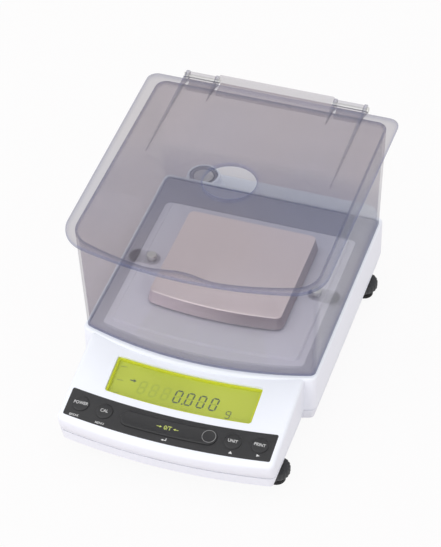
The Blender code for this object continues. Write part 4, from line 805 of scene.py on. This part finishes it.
DIGIT_ROW = 10.8 * MM
LIT_X, OFF_X = np.array([-3.4, 6.0, 15.6, 25.4]) * MM, np.array([-32.6, -23.0, -13.2]) * MM
UNIT_AT, UNIT_HEIGHT, UNIT_WIDTH, UNIT_BAR = (38.4 * MM, 5.2 * MM), 7.0 * MM, 4.2 * MM, 0.75 * MM
POINT_AT, POINT_RADIUS = (1.5 * MM, DIGIT_ROW - 5.4 * MM), 0.75 * MM
DASHES = [(-55.4, 26.2), (-54.4, 13.8), (-54.6, 2.0)]
DASH_LENGTH, DASH_RISE, DASH_WIDTH = 5.6 * MM, 0.3 * MM, 0.35 * MM
ARROW_AT = np.array([-41.2, 16.0]) * MM
ON_THICKNESS, OFF_THICKNESS = 0.06 * MM, 0.03 * MM


def arrow(tail, tip, shaft, head):
    """An arrow that points to the right. Its shaft and head are given by half their widths."""
    neck = 0.3 * MM
    return np.array([(-tail, -shaft), (neck, -shaft), (neck, -head), (tip, 0), (neck, head), (neck, shaft),
                     (-tail, shaft)])


on_bars, off_bars = [], []
for x in LIT_X:
    on_bars += figure((x, DIGIT_ROW + rise(x)), "abcdef")
    off_bars += figure((x, DIGIT_ROW + rise(x)), "g")
for x in OFF_X:
    off_bars += figure((x, DIGIT_ROW + rise(x)), "abcdefg")
on_bars += figure(UNIT_AT, "abcdfg", UNIT_HEIGHT, UNIT_WIDTH, UNIT_BAR)
on_bars.append(circle(POINT_RADIUS, POINT_AT, 16))
for start in np.array(DASHES) * MM:
    on_bars.append(bar(start, start + [DASH_LENGTH, DASH_RISE], DASH_WIDTH))
on_bars.append(arrow(2.6 * MM, 2.5 * MM, 0.55 * MM, 1.5 * MM) + ARROW_AT)
piece("display_digits", plate(on_bars, GLASS_TOP, GLASS_TOP + ON_THICKNESS), segment_dark, "case")
piece("display_ghosts", plate(off_bars, GLASS_TOP, GLASS_TOP + OFF_THICKNESS), segment_ghost, "case")
print("segments on:", len(on_bars), "off:", len(off_bars))

# %% [markdown]
# ## Keypad and keys
#
# The keypad is one dark foil that the keys come up through. The round keys stand a little proud with
# a crowned top, and the wide zero key is a long bar that follows the bow of the console. Each key is
# high enough that it never sinks into the foil when it is pressed. The legends are printed, so each is
# a very thin plate that rides on its key.

# %% Keypad foil
FOIL = [(0, -1.3), (0, 0.05), (-0.15, 0.2)]
piece("keypad_foil", skin(panel_rings(KEYPAD, FOIL)), pad_dark, "case", ["keypad_panel"])
print("keypad foil is %.1f mm wide" % (2 * KEYPAD[0] / MM))

# %% Keys
KEY_ROW, KEY_RADIUS = -21.2 * MM, 6.8 * MM
KEY_X = {"power_key": -71.7 * MM, "calibrate_key": -52.0 * MM, "unit_key": 50.6 * MM, "print_key": 71.2 * MM}
KEY_PROFILE = [(0.12, -5.3), (0.0, -1.0), (0.0, 0.45), (-0.12, 0.72), (-0.4, 0.9), (-1.6, 1.02), (-3.6, 1.08),
               (-6.0, 1.1)]


def stroke_curve(path, radius, steps=20):
    """Outline of a round-ended stroke: the path moved to both sides, with half circles at its ends."""
    way = np.gradient(path, axis=0)
    way /= np.linalg.norm(way, axis=1)[:, None]
    side = np.column_stack([-way[:, 1], way[:, 0]]) * radius
    t = np.linspace(0, pi, steps)[1:-1]

    def cap(point, direction, start):
        a = np.arctan2(direction[1], direction[0]) + start + t
        return point + radius * np.column_stack([np.cos(a), np.sin(a)])

    return np.concatenate([path - side, cap(path[-1], way[-1], -pi / 2), (path + side)[::-1],
                           cap(path[0], way[0], pi / 2)])


for name, x in KEY_X.items():
    place = (x, KEY_ROW + rise(x))
    rings = [on_console(*circle(KEY_RADIUS + g * MM, place).T, d * MM) for g, d in KEY_PROFILE]
    piece(name + "_cap", skin(rings), key_dark, name, [name])
TARE_REACH = 38.5 * MM - KEY_RADIUS
tare_x = np.linspace(-TARE_REACH, TARE_REACH, 60)
tare_path = np.column_stack([tare_x, KEY_ROW + rise(tare_x)])
TARE_PROFILE = [(0.0, -5.3), (0.0, 0.9), (-0.15, 1.15), (-0.5, 1.32), (-1.4, 1.32), (-2.6, 1.18),
                (-4.4, 1.08), (-6.3, 1.05)]
rings = [on_console(*stroke_curve(tare_path, KEY_RADIUS + g * MM).T, d * MM) for g, d in TARE_PROFILE]
piece("tare_key_bar", skin(rings), key_dark, "tare_key", ["tare_key"])
print("keys:", len(KEY_X) + 1)

# %% Legends
BOLD_SHARE = 0.005
PRINT_THICKNESS = 0.02 * MM


def words(name, text, size, place, depth, body, finish, stretch=1.0):
    """Text as a thin plate in the console's plane, centred on a place (x, v)."""
    line = bpy.data.curves.new(name, "FONT")
    line.body, line.size, line.extrude, line.offset = text, size, PRINT_THICKNESS, size * BOLD_SHARE
    line.align_x, line.align_y = "CENTER", "CENTER"
    draft = new_object(name + "_draft", line)
    mesh = bpy.data.meshes.new_from_object(draft.evaluated_get(bpy.context.evaluated_depsgraph_get()))
    bpy.data.objects.remove(draft)
    here = on_console(*place, depth)
    turn = Matrix(np.column_stack([[stretch, 0, 0], ALONG, OUT]).tolist()).to_4x4()
    mesh.transform(Matrix.Translation(here.tolist()) @ turn)
    mesh.materials.clear()
    mesh.materials.append(finish)
    thing = new_object(name, mesh)
    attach(thing, body)


LETTER, SMALL_LETTER, ZERO_LETTER = 3.7 * MM, 2.6 * MM, 4.9 * MM
KEY_TOP, TARE_TOP, FOIL_TOP = 1.12 * MM, 1.08 * MM, 0.22 * MM
NARROW = 0.9
KEY_WORDS = {"power_key": "POWER", "calibrate_key": "CAL", "unit_key": "UNIT", "print_key": "PRINT"}
for name, text in KEY_WORDS.items():
    place = (KEY_X[name], KEY_ROW + rise(KEY_X[name]))
    words(name + "_word", text, LETTER, place, KEY_TOP, name, print_white, NARROW)
for name, text, place in (("break_word", "BREAK", (-73.6 * MM, -27.9 * MM)),
                          ("menu_word", "MENU", (-52.2 * MM, -29.9 * MM))):
    words(name, text, SMALL_LETTER, place, FOIL_TOP, "case", print_white)
words("tare_word", "0/T", ZERO_LETTER, (-0.3 * MM, -21.2 * MM), TARE_TOP, "tare_key", print_lime,
      NARROW)

# %% Signs
SIGN_THICKNESS, TARE_SIGN_TOP, FOIL_SIGN_TOP = 0.03 * MM, 1.07 * MM, 0.2 * MM


def sign(name, shapes, depth, body, finish):
    """Flat signs as one thin piece."""
    return piece(name, plate(shapes, depth, depth + SIGN_THICKNESS), finish, body)


def placed(points, x, v):
    """An outline given in millimetres, moved to a place that is given in millimetres too."""
    return (np.array(points) + [x, v]) * MM


small_arrow = arrow(2.1 * MM, 2.1 * MM, 0.22 * MM, 0.85 * MM)
LEFT_ARROW_AT, RIGHT_ARROW_AT = np.array([-7.0, -21.1]) * MM, np.array([6.2, -21.1]) * MM
sign("tare_arrows", [small_arrow + LEFT_ARROW_AT, small_arrow[::-1] * [-1, 1] + RIGHT_ARROW_AT],
     TARE_SIGN_TOP, "tare_key", print_lime)
enter = placed([(-0.7, -0.95), (-0.7, -0.3), (1.7, -0.3), (1.7, 1.9), (1.1, 1.9), (1.1, 0.3), (-0.7, 0.3),
               (-0.7, 0.95), (-2.4, 0)], 0, -31.4)
up = placed([(-1.5, -1.0), (1.5, -1.0), (0, 1.3)], 51.6, -28.6)
right = placed([(-1.2, -1.1), (1.4, 0), (-1.2, 1.1)], 72.4, -25.8)
sign("keypad_signs", [enter, up, right], FOIL_SIGN_TOP, "case", print_white)
RING_AT, RING_LOW, RING_HIGH = (32.1 * MM, -19.9 * MM), 1.02 * MM, 1.38 * MM
ring_outer, ring_inner = circle(5.4 * MM, RING_AT), circle(5.05 * MM, RING_AT)
ring_rows = [on_console(*c.T, d) for c, d in ((ring_outer, RING_LOW), (ring_outer, RING_HIGH),
                                              (ring_inner, RING_HIGH), (ring_inner, RING_LOW))]
piece("tare_ring", skin(ring_rows, loop=True), print_grey, "tare_key")
print("legends and signs done")

# %% [markdown]
# ## The draft shield
#
# The shield's wall is one loop: up the outside, over the rounded rim, and down the inside. The foot
# is a little narrower than the top, and the front wall leans forward. Near the top the middle of the
# front dips inwards, to leave room for a finger under the lid. A raised cosine gives that dent soft
# sides, and it fades out down the wall.

# %% Shield walls
WALL = 2.0 * MM
FOOT = (92.9 * MM, SHIELD_FRONT, SHIELD_BACK, 0.3, 5 * MM, 5 * MM)
HEAD = (96.2 * MM, SHIELD_FRONT - 16.2 * MM, SHIELD_BACK - 0.8 * MM, 0.25, 22 * MM, 9 * MM)
FOOT_Z, HEAD_Z = DECK + 0.3 * MM, LID_TOP - 3.3 * MM
DENT_X, DENT_HALF_WIDTH, DENT_DEPTH, DENT_HEIGHT = -3 * MM, 30 * MM, 5.0 * MM, 46 * MM
RIM_EDGE = 0.5 * MM
# The next line sets the painted shade at the foot of the back wall: its band, its height and its cover.
BACK_BAND, BACK_SHADE_HEIGHT, BACK_SHADE_COVER = 12 * MM, 38 * MM, 0.42
CORNER_ANGLE = np.arctan2(FOOT[0] - 1.5 * MM, LOAD_Y - SHIELD_FRONT - 16 * MM)
CORNER_SPREAD, CORNER_RIM = radians(1.2), 0.3


def wall_ring(height, depth):
    """Outline of the wall at a height, moved inwards by a depth, with the finger dent.

    The dent moves the front back by d (1 + cos(pi x / w)) / 2 times a share that fades out downwards
    with the square of the distance from the rim.
    """
    share = (height - FOOT_Z) / (HEAD_Z - FOOT_Z)
    plan = tuple(a * (1 - share) + b * share for a, b in zip(FOOT, HEAD))
    curve = outline(*inset(plan, depth))
    fade = max(0.0, 1 - (HEAD_Z - height) / DENT_HEIGHT) ** 2
    x = curve[:, 0] - DENT_X
    dented = (np.abs(x) < DENT_HALF_WIDTH) & (curve[:, 1] < LOAD_Y)
    curve[:, 1] += dented * DENT_DEPTH * fade * (1 + np.cos(pi * x / DENT_HALF_WIDTH)) / 2
    return ring(curve, height)


heights = np.concatenate([[FOOT_Z, FOOT_Z + 0.9 * MM], np.linspace(FOOT_Z + 4 * MM, HEAD_Z - 6 * MM, 24),
                          [HEAD_Z - 2 * MM, HEAD_Z - RIM_EDGE]])
rim_round = [(i, HEAD_Z - d) for i, d in quarter(RIM_EDGE, 4)]
outer = [wall_ring(h, 0) for h in heights]
inner = [wall_ring(h, WALL) for h in heights[::-1]]
top = [wall_ring(h, i) for i, h in rim_round[1:]] + [wall_ring(h, WALL - i) for i, h in rim_round[:0:-1]]
rows = outer + top + inner
rim_outside = [1.0, 0.25] + [0.0] * (len(outer) - 4) + [0.35, 1.0]
wall_skin = skin(rows, loop=True)

# %% [markdown]
# The attribute "rim" is more than the edges here. At the foot of the back wall it is painted shade: it
# raises the wall's cover and darkens its tint so that the tail behind looks shaded, and it falls off over
# the first centimetres. And each front corner gets a thin line where two walls meet, found by the polar
# angle of the points about the middle of the pan.

# %% Where the walls look thick, and painted shade at the foot of the back wall
x, y, z = wall_skin[0].T
rim_values = np.repeat(rim_outside + [1.0] * len(top) + rim_outside[::-1], len(rows[0]))
# Painted shade: near its foot the back wall gets more cover and a darker tint, standing in for the shade on
# the tail behind it.
back_shade_falloff = np.clip(1 - (z - FOOT_Z) / BACK_SHADE_HEIGHT, 0, 1) ** 0.5
rim_values = np.maximum(rim_values, (y > SHIELD_BACK - BACK_BAND) * BACK_SHADE_COVER * back_shade_falloff)
off_corner = np.abs(np.abs(np.arctan2(x, LOAD_Y - y)) - CORNER_ANGLE) / CORNER_SPREAD
rim_values = np.maximum(rim_values, (y < LOAD_Y) * CORNER_RIM * np.clip(1 - off_corner, 0, 1))
shield = piece("draft_shield_walls", wall_skin, shield_smoke, "windbreak", ["windbreak_box"],
               rim=rim_values)
print("shield wall:", len(shield.data.polygons), "faces")

# %% [markdown]
# The hinge sits behind the wall. A rail runs between the two pairs of ears, and on each side a
# bracket carries a round knuckle for the pin. These are prisms along X, so their profile lies in the
# Y-Z plane and a Bevel softens their edges.

# %% Hinge rail and knuckles


def along_x(profile, left, right):
    """A profile of (y, z) points carried along X from left to right."""
    points = np.asarray(profile)
    return skin([np.column_stack([np.full(len(points), x), points]) for x in (left, right)])


def soften(thing, width):
    """A live Bevel on the sharp edges of a prism."""
    edge = thing.modifiers.new("soft edges", "BEVEL")
    edge.width, edge.segments, edge.limit_method = width, 2, "ANGLE"
    edge.angle_limit = radians(40)


EAR_IN, EAR_OUT, EAR_THICK, EAR_GAP = 49.5 * MM, 74.5 * MM, 2.4 * MM, 0.3 * MM
RAIL_TOP, RAIL_THICK, RAIL_CORNER, RAIL_FROM_EAR = HINGE.z - 4.8 * MM, 3 * MM, 1 * MM, 3 * MM
RAIL_NEAR, RAIL_FAR = SHIELD_BACK - WALL, SHIELD_BACK + 12.4 * MM
LIP_FRONT, LIP_BACK = HINGE.y + 2.3 * MM, HINGE.y + 4.1 * MM
LIP_LOW, LIP_TOP = RAIL_TOP - 1 * MM, HINGE.z + 4 * MM
BARREL_RADIUS, NECK = 3.8 * MM, 2.5 * MM
RAIL_EDGE, RAIL_RIM = 0.35 * MM, 0.05
rail_low = RAIL_TOP - RAIL_THICK
rail = [(RAIL_NEAR, rail_low), (RAIL_FAR - RAIL_CORNER, rail_low), (RAIL_FAR, rail_low + RAIL_CORNER),
        (RAIL_FAR, RAIL_TOP), (RAIL_NEAR, RAIL_TOP)]
lip = [(LIP_FRONT, LIP_LOW), (LIP_BACK, LIP_LOW), (LIP_BACK, LIP_TOP), (LIP_FRONT, LIP_TOP)]
a = np.linspace(radians(-48), radians(228), 30)
barrel = np.column_stack([HINGE.y + BARREL_RADIUS * np.cos(a), HINGE.z + BARREL_RADIUS * np.sin(a)])
barrel = np.concatenate([barrel, [(HINGE.y - NECK, rail_low), (HINGE.y + NECK, rail_low)]])
bracket = [(RAIL_NEAR, rail_low), (HINGE.y + NECK, rail_low), (HINGE.y + NECK, RAIL_TOP),
           (RAIL_NEAR, RAIL_TOP)]
start, end = EAR_IN + EAR_THICK / 2 + EAR_GAP, EAR_OUT - EAR_THICK / 2 - EAR_GAP
parts = [along_x(profile, RAIL_FROM_EAR - start, start - RAIL_FROM_EAR) for profile in (rail, lip)]
parts += [along_x(profile, side * start, side * end) for side in (-1, 1) for profile in (barrel, bracket)]
rail_surface = together(*parts)
rail_piece = piece("hinge_rail", rail_surface, shield_smoke, "windbreak",
                   rim=np.full(len(rail_surface[0]), RAIL_RIM))
soften(rail_piece, RAIL_EDGE)
print("hinge rail:", len(rail_surface[0]), "points")

# %% [markdown]
# The walls stand on a flat base frame, which shows as a darker margin, and its two ears carry the
# lock knobs. The frame is a loop of rings like the wall, with its top edges cut off a little. An ear
# is a round-ended plate, and a knob is a turned profile with a wave on its radius for the milling.

# %% Base frame and its ears
FRAME_OUT = inset(FOOT, WALL + 0.3 * MM)
FRAME_IN = (81.7 * MM, SHIELD_FRONT + 8.9 * MM, SHIELD_BACK - 31.3 * MM, 0.3, 5 * MM, 5 * MM)
FRAME_EDGE, FRAME_TOP = 0.3 * MM, FOOT_Z + 2 * MM
FRAME_RIMS = [0.2, 0.6, 0.2, 0.2, 0.6, 0.2]
KNOB_X, TAB_END, TAB_RADIUS = 69 * MM, 81 * MM, 7 * MM
TAB_LOW, TAB_TOP = FOOT_Z + 1.98 * MM, FRAME_TOP + 1.0 * MM
frame_steps = [(FRAME_OUT, 0, FOOT_Z), (FRAME_OUT, 0, FRAME_TOP - FRAME_EDGE),
               (FRAME_OUT, FRAME_EDGE, FRAME_TOP), (FRAME_IN, -FRAME_EDGE, FRAME_TOP),
               (FRAME_IN, 0, FRAME_TOP - FRAME_EDGE), (FRAME_IN, 0, FOOT_Z)]
frame_rows = [ring(outline(*inset(plan, distance)), height) for plan, distance, height in frame_steps]
piece("draft_shield_frame", skin(frame_rows, loop=True), frame_smoke, "windbreak", ["windbreak_frame"],
      rim=np.repeat(FRAME_RIMS, len(frame_rows[0])))
tabs = []
for side in (-1, 1):
    path = np.column_stack([np.linspace(side * KNOB_X, side * TAB_END, 12), np.full(12, LOAD_Y)])
    curve = stroke_curve(path, TAB_RADIUS, 24)
    tabs.append(skin([ring(curve, TAB_LOW), ring(curve, TAB_TOP)]))
piece("draft_shield_tabs", together(*tabs), tab_smoke, "windbreak")
print("frame rings:", len(frame_rows), "ears:", len(tabs))

# %% Lock knobs
SHANK_END, KNOB_SEAT = DECK - 6 * MM, FRAME_TOP + 1.1 * MM
KNOB_TEETH, TOOTH_SHARE, TOOTH_FROM = 28, 0.03, 3 * MM
CLOSED = 0.02
KNOB = [(3.9, 0), (4.2, 0.4), (4.2, 3.6), (3.9, 4.1), (3.2, 4.3), (CLOSED, 4.35)]
knob = [(CLOSED * MM, SHANK_END), (1.5 * MM, SHANK_END), (1.5 * MM, KNOB_SEAT)]
knob += [(radius * MM, KNOB_SEAT + up * MM) for radius, up in KNOB]


def milled(angles, radius):
    """Fine teeth round the knob: the radius is scaled by 1 - s (1 - cos(n a)) / 2 at its rim."""
    return 1 - TOOTH_SHARE * (0.5 - 0.5 * np.cos(KNOB_TEETH * angles)) * (radius > TOOTH_FROM)


for name, x in (("lock_knob_left", -KNOB_X), ("lock_knob_right", KNOB_X)):
    piece(name + "_cap", revolve(knob, (x, LOAD_Y), 168, milled), plain_steel, name, [name])
print("knobs at x", KNOB_X / MM, "mm")

# %% [markdown]
# ## The lid
#
# The lid is a flat plate with a round hole. Its skin is a loop as well: from the hole out over the
# top to the bowed edge, round the edge, and back underneath to the hole. The circle is sampled at
# the polar angles of the outer curve, so the rows run straight out from the hole like spokes.

# %% Lid plate
LID = (105 * MM, HEAD[1] - 5 * MM, HINGE.y - 4.5 * MM, 0.345, 28 * MM, 9 * MM, 2.8 * MM)
LID_FOOT, LID_EDGE = LID_TOP - 3 * MM, 0.8 * MM
HOLE, HOLE_RADIUS, HOLE_EDGE = (-0.6 * MM, LOAD_Y - 5 * MM), 20.85 * MM, 0.3 * MM
SPOKE_SHARES = [0.015, 0.1, 0.35, 0.6, 0.85, 0.97]


def spokes(shares, shape, height, hole_radius):
    """Rings between the hole and the outline: each point is (1 - s) of the circle and s of the outline."""
    outer_curve = outline(*shape)
    hole = around(outer_curve, HOLE, hole_radius)
    return [ring(hole * (1 - s) + outer_curve * s, height) for s in shares]


wide = HOLE_RADIUS + HOLE_EDGE
plan = inset(LID, LID_EDGE)
rows = spokes([0.0], plan, LID_TOP - HOLE_EDGE, HOLE_RADIUS)
rows += spokes([0.0] + SPOKE_SHARES + [1.0], plan, LID_TOP, wide)
rows += [ring(outline(*inset(LID, i)), LID_TOP - d) for i, d in quarter(LID_EDGE, 5)[-2::-1]]
rows += [ring(outline(*inset(LID, i)), LID_FOOT + d) for i, d in quarter(LID_EDGE, 5)]
rows += spokes(SPOKE_SHARES[::-1] + [0.0], plan, LID_FOOT, wide)
rows += spokes([0.0], plan, LID_FOOT + HOLE_EDGE, HOLE_RADIUS)
LID_RIMS = [1.0, 1.0, 0.15] + [0.0] * 5 + [0.3] + [1.0] * 8 + [0.6] + [0.0] * 5 + [0.15, 1.0, 1.0]
piece("lid_plate", skin(rows, loop=True), lid_smoke, "lid", ["lid"],
      rim=np.repeat(LID_RIMS, len(rows[0])))
print("lid rings:", len(rows))

# %% [markdown]
# Four ribs rise from the lid towards the hinge and end in round ears. The outer pair is long, the
# inner pair short. Seen from the side each rib is a wedge with a disc at its end, so the profile is
# the wedge's straight edge followed by an arc about the hinge's axis.

# %% Ribs and ears
EAR_RADIUS, RIB_ROOT, RIB_SINK, TIP_SHARE = 4.5 * MM, 4.5 * MM, 1.6 * MM, 0.25
RIB_LENGTHS = {EAR_OUT: 95.5 * MM, EAR_IN: 22.5 * MM}
a = np.linspace(radians(-120), radians(105), 26)
ear_arc = np.column_stack([HINGE.y + EAR_RADIUS * np.cos(a), HINGE.z + EAR_RADIUS * np.sin(a)])


def rib(x, length):
    """A rib with its ear: both faces of one profile, which draw together towards the front tip.

    The half thickness grows with Y from the tip's share to the whole at the lid's back edge.
    """
    root, front = LID[2] - RIB_ROOT, LID[2] - length
    profile = np.concatenate([[(root, LID_TOP - RIB_SINK)], ear_arc,
                              [(front, LID_TOP + 0.02 * MM), (front, LID_TOP - 1.5 * MM)]])
    grown = np.clip((profile[:, 0] - front) / (root - front), 0, 1)
    half = EAR_THICK / 2 * (TIP_SHARE + (1 - TIP_SHARE) * grown)
    return skin([np.column_stack([x + side * half, profile]) for side in (-1, 1)])


RIB_RIM_START, RIB_RIM_LENGTH, RIB_EDGE = 20 * MM, 40 * MM, 0.25 * MM
rib_parts = [rib(side * x, length) for x, length in RIB_LENGTHS.items() for side in (-1, 1)]
rib_surface = together(*rib_parts)
rib_rim = np.clip((rib_surface[0][:, 1] - LID[2] + RIB_RIM_START) / RIB_RIM_LENGTH, 0, 0.5)
ribs = piece("lid_ribs", rib_surface, lid_smoke, "lid", rim=rib_rim)
soften(ribs, RIB_EDGE)
print("ribs:", len(rib_parts))

# %% [markdown]
# ## The pan
#
# The pan is pressed from one sheet: a flat top, a rounded edge, and a skirt that flares outwards.
# Its skin goes down the outside, under the cut edge and up again one sheet thickness further in.

# %% Pan
FLARE, LIP = 2.0 * MM, 1.2 * MM
PAN = (54 * MM, pan_low.y + FLARE, pan_high.y - FLARE, 0.31, 5 * MM, 5 * MM)
PAN_TOP, SKIRT, SHEET, FLAT_MARGIN = pan_high.z, 11 * MM, 1.0 * MM, 4 * MM


def pan_rows(gap):
    """Rings of the pan, moved inwards by a gap: flat top, rounding, and a skirt that flares with s^1.15."""
    rows = [ring(outline(*inset(PAN, FLAT_MARGIN + gap)), PAN_TOP - gap)]
    rows += [ring(outline(*inset(PAN, i + gap)), PAN_TOP - d - gap) for i, d in quarter(LIP, 8)[::-1]]
    t = np.linspace(0, 1, 7)[1:]
    fall = SKIRT - LIP - gap
    rows += [ring(outline(*inset(PAN, gap - FLARE * s ** 1.15)), PAN_TOP - gap - LIP - fall * s) for s in t]
    return rows


pan_rings = pan_rows(0) + pan_rows(SHEET)[::-1]
pan_skin = skin(pan_rings)
piece("pan_dish", pan_skin, pan_steel, "pan", ["weighing_pan"])
print("pan top at", round(PAN_TOP / MM, 1), "mm")

# %% [markdown]
# ## Level and feet
#
# The level is a round vial in a dark ring. The feet are knurled wheels that the user turns to bring
# the bubble to the middle. The knurl is a wave on the wheel's radius.

# %% Level
VIAL = [(11.5, 50.2), (11.5, 53.9), (8.6, 54.1), (8.6, 56.6), (8.0, 57.0), (4.0, 57.2), (CLOSED, 57.3)]
DARK_RING = [(9.1, 54.3), (11.8, 54.3), (11.8, 56.4), (11.2, 57.0), (9.6, 57.0), (9.1, 56.4)]


def millimetres(profile):
    """A profile of (radius, height) points that is written in millimetres."""
    return [(radius * MM, height * MM) for radius, height in profile]


piece("level_vial_lens", revolve(millimetres(VIAL), LEVEL), vial_clear, "case", ["level_vial"])
rings = [ring(circle(r, LEVEL, 96), z) for r, z in millimetres(DARK_RING)]
piece("level_ring_band", skin(rings, loop=True), ring_grey, "case", ["level_ring"])
print("level at", [round(v / MM, 1) for v in LEVEL], "mm")

# %% Feet
WHEEL = [(CLOSED, 3.9), (6.4, 3.9), (6.4, 7.6), (9.8, 7.6), (10.5, 8.0), (10.9, 8.8), (10.9, 13.4),
         (10.5, 14.1), (9.8, 14.5), (3.0, 14.5), (3.0, 24.5), (CLOSED, 24.5)]
PAD = [(CLOSED, 0.0), (6.6, 0.0), (7.4, 0.4), (7.5, 1.2), (7.3, 2.9), (6.7, 3.6), (CLOSED, 3.6)]
FLUTES, FLUTE_SHARE, FLUTE_FROM = 20, 0.05, 10 * MM


def knurl(angles, radius):
    """Rounded flutes: the radius is scaled by 1 - s ((1 - cos(n a)) / 2)^2 on the wheel's rim only."""
    return 1 - FLUTE_SHARE * (0.5 - 0.5 * np.cos(FLUTES * angles)) ** 2 * (radius > FLUTE_FROM)


for name in CORNERS:
    low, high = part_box("foot_pad_" + name)
    centre = ((low.x + high.x) / 2, (low.y + high.y) / 2)
    piece("foot_wheel_%s_knurled" % name, revolve(millimetres(WHEEL), centre, 160, knurl), wheel_dark,
          "foot_" + name, ["foot_wheel_" + name])
    piece("foot_pad_%s_disc" % name, revolve(millimetres(PAD), centre, 64), rubber, "foot_" + name,
          ["foot_pad_" + name])
print("feet:", len(CORNERS))

# %% [markdown]
# ## Light, floor and camera
#
# The photograph is a studio shot on white: broad soft light from above and from the left, with the
# right side of the case a little darker. The floor is pale and plain. The camera stands to the right
# of the middle, more than a metre and a half away, with a long lens.

# %% Floor and light
SPAN = 6.0
BACKDROP_SHARE = 0.93
floor_mesh = bpy.data.meshes.new("floor")
corners = [(-SPAN, -SPAN, 0), (SPAN, -SPAN, 0), (SPAN, SPAN, 0), (-SPAN, SPAN, 0)]
floor_mesh.from_pydata(corners, [], [(0, 1, 2, 3)])
floor = new_object("floor", floor_mesh)
floor_finish, tree, shader = material("pale floor", Roughness=0.9, Base_Color=paint(214, 205, 207),
                                      Specular_IOR_Level=0.0)
light_path = node(tree, "LightPath").outputs
direct = ranged(tree, light_path["Transparent Depth"], 1.0, 4.0, 1.0, 0.0)
seen = maths(tree, "MULTIPLY", light_path["Is Camera Ray"], direct)
mirrored = maths(tree, "MAXIMUM", light_path["Is Glossy Ray"], light_path["Is Transmission Ray"])
share = maths(tree, "MULTIPLY", maths(tree, "MAXIMUM", seen, mirrored), BACKDROP_SHARE)
blend = node(tree, "MixShader", i0=share, i1=shader.outputs[0], i2=node(tree, "Emission").outputs[0])
tree.links.new(blend.outputs[0], tree.nodes["Material Output"].inputs["Surface"])
floor_mesh.materials.append(floor_finish)

world = bpy.data.worlds.new("studio")
bpy.context.scene.world = world
world.use_nodes = True
background = world.node_tree.nodes["Background"]
background.inputs["Color"].default_value = (1.0, 1.0, 1.0, 1.0)
background.inputs["Strength"].default_value = 0.92


def soft_lamp(name, place, target, size, power):
    """A square lamp at a place, turned towards a target."""
    light = bpy.data.lights.new(name, "AREA")
    light.shape, light.size, light.energy = "SQUARE", size, power
    lamp = new_object(name, light)
    lamp.location = place
    lamp.rotation_euler = (Vector(target) - Vector(place)).to_track_quat("-Z", "Y").to_euler()


soft_lamp("key", (-0.9, -0.7, 1.6), (0, 0, 0.05), 1.2, 5.5)
soft_lamp("top", (0.1, 0.5, 1.7), (0, 0, 0.1), 1.4, 3.2)
soft_lamp("front", (-0.2, -1.9, 0.7), (0, -0.1, 0.05), 1.2, 7.0)
print("lamps:", len(bpy.data.lights))

# %% Camera
CAMERA_AT = Vector((0.40897, -1.20034, 1.25249))
LOOK_AT = Vector((-0.00822, 0.01083, 0.073))
ROLL = radians(-0.91)
lens = bpy.data.cameras.new("camera")
lens.lens, lens.sensor_width = 144.4, 36.0
camera = new_object("camera", lens)
bpy.context.scene.camera = camera
forward = (LOOK_AT - CAMERA_AT).normalized()
level_right = forward.cross(Vector((0, 0, 1))).normalized()
level_up = level_right.cross(forward)
right_way = level_right * cos(ROLL) + level_up * sin(ROLL)
up_way = level_up * cos(ROLL) - level_right * sin(ROLL)
turn = Matrix((right_way, up_way, -forward)).transposed().to_4x4()
camera.matrix_world = Matrix.Translation(CAMERA_AT) @ turn
bpy.context.scene.view_settings.view_transform = "Standard"
print("camera is %.2f m away" % (LOOK_AT - CAMERA_AT).length)
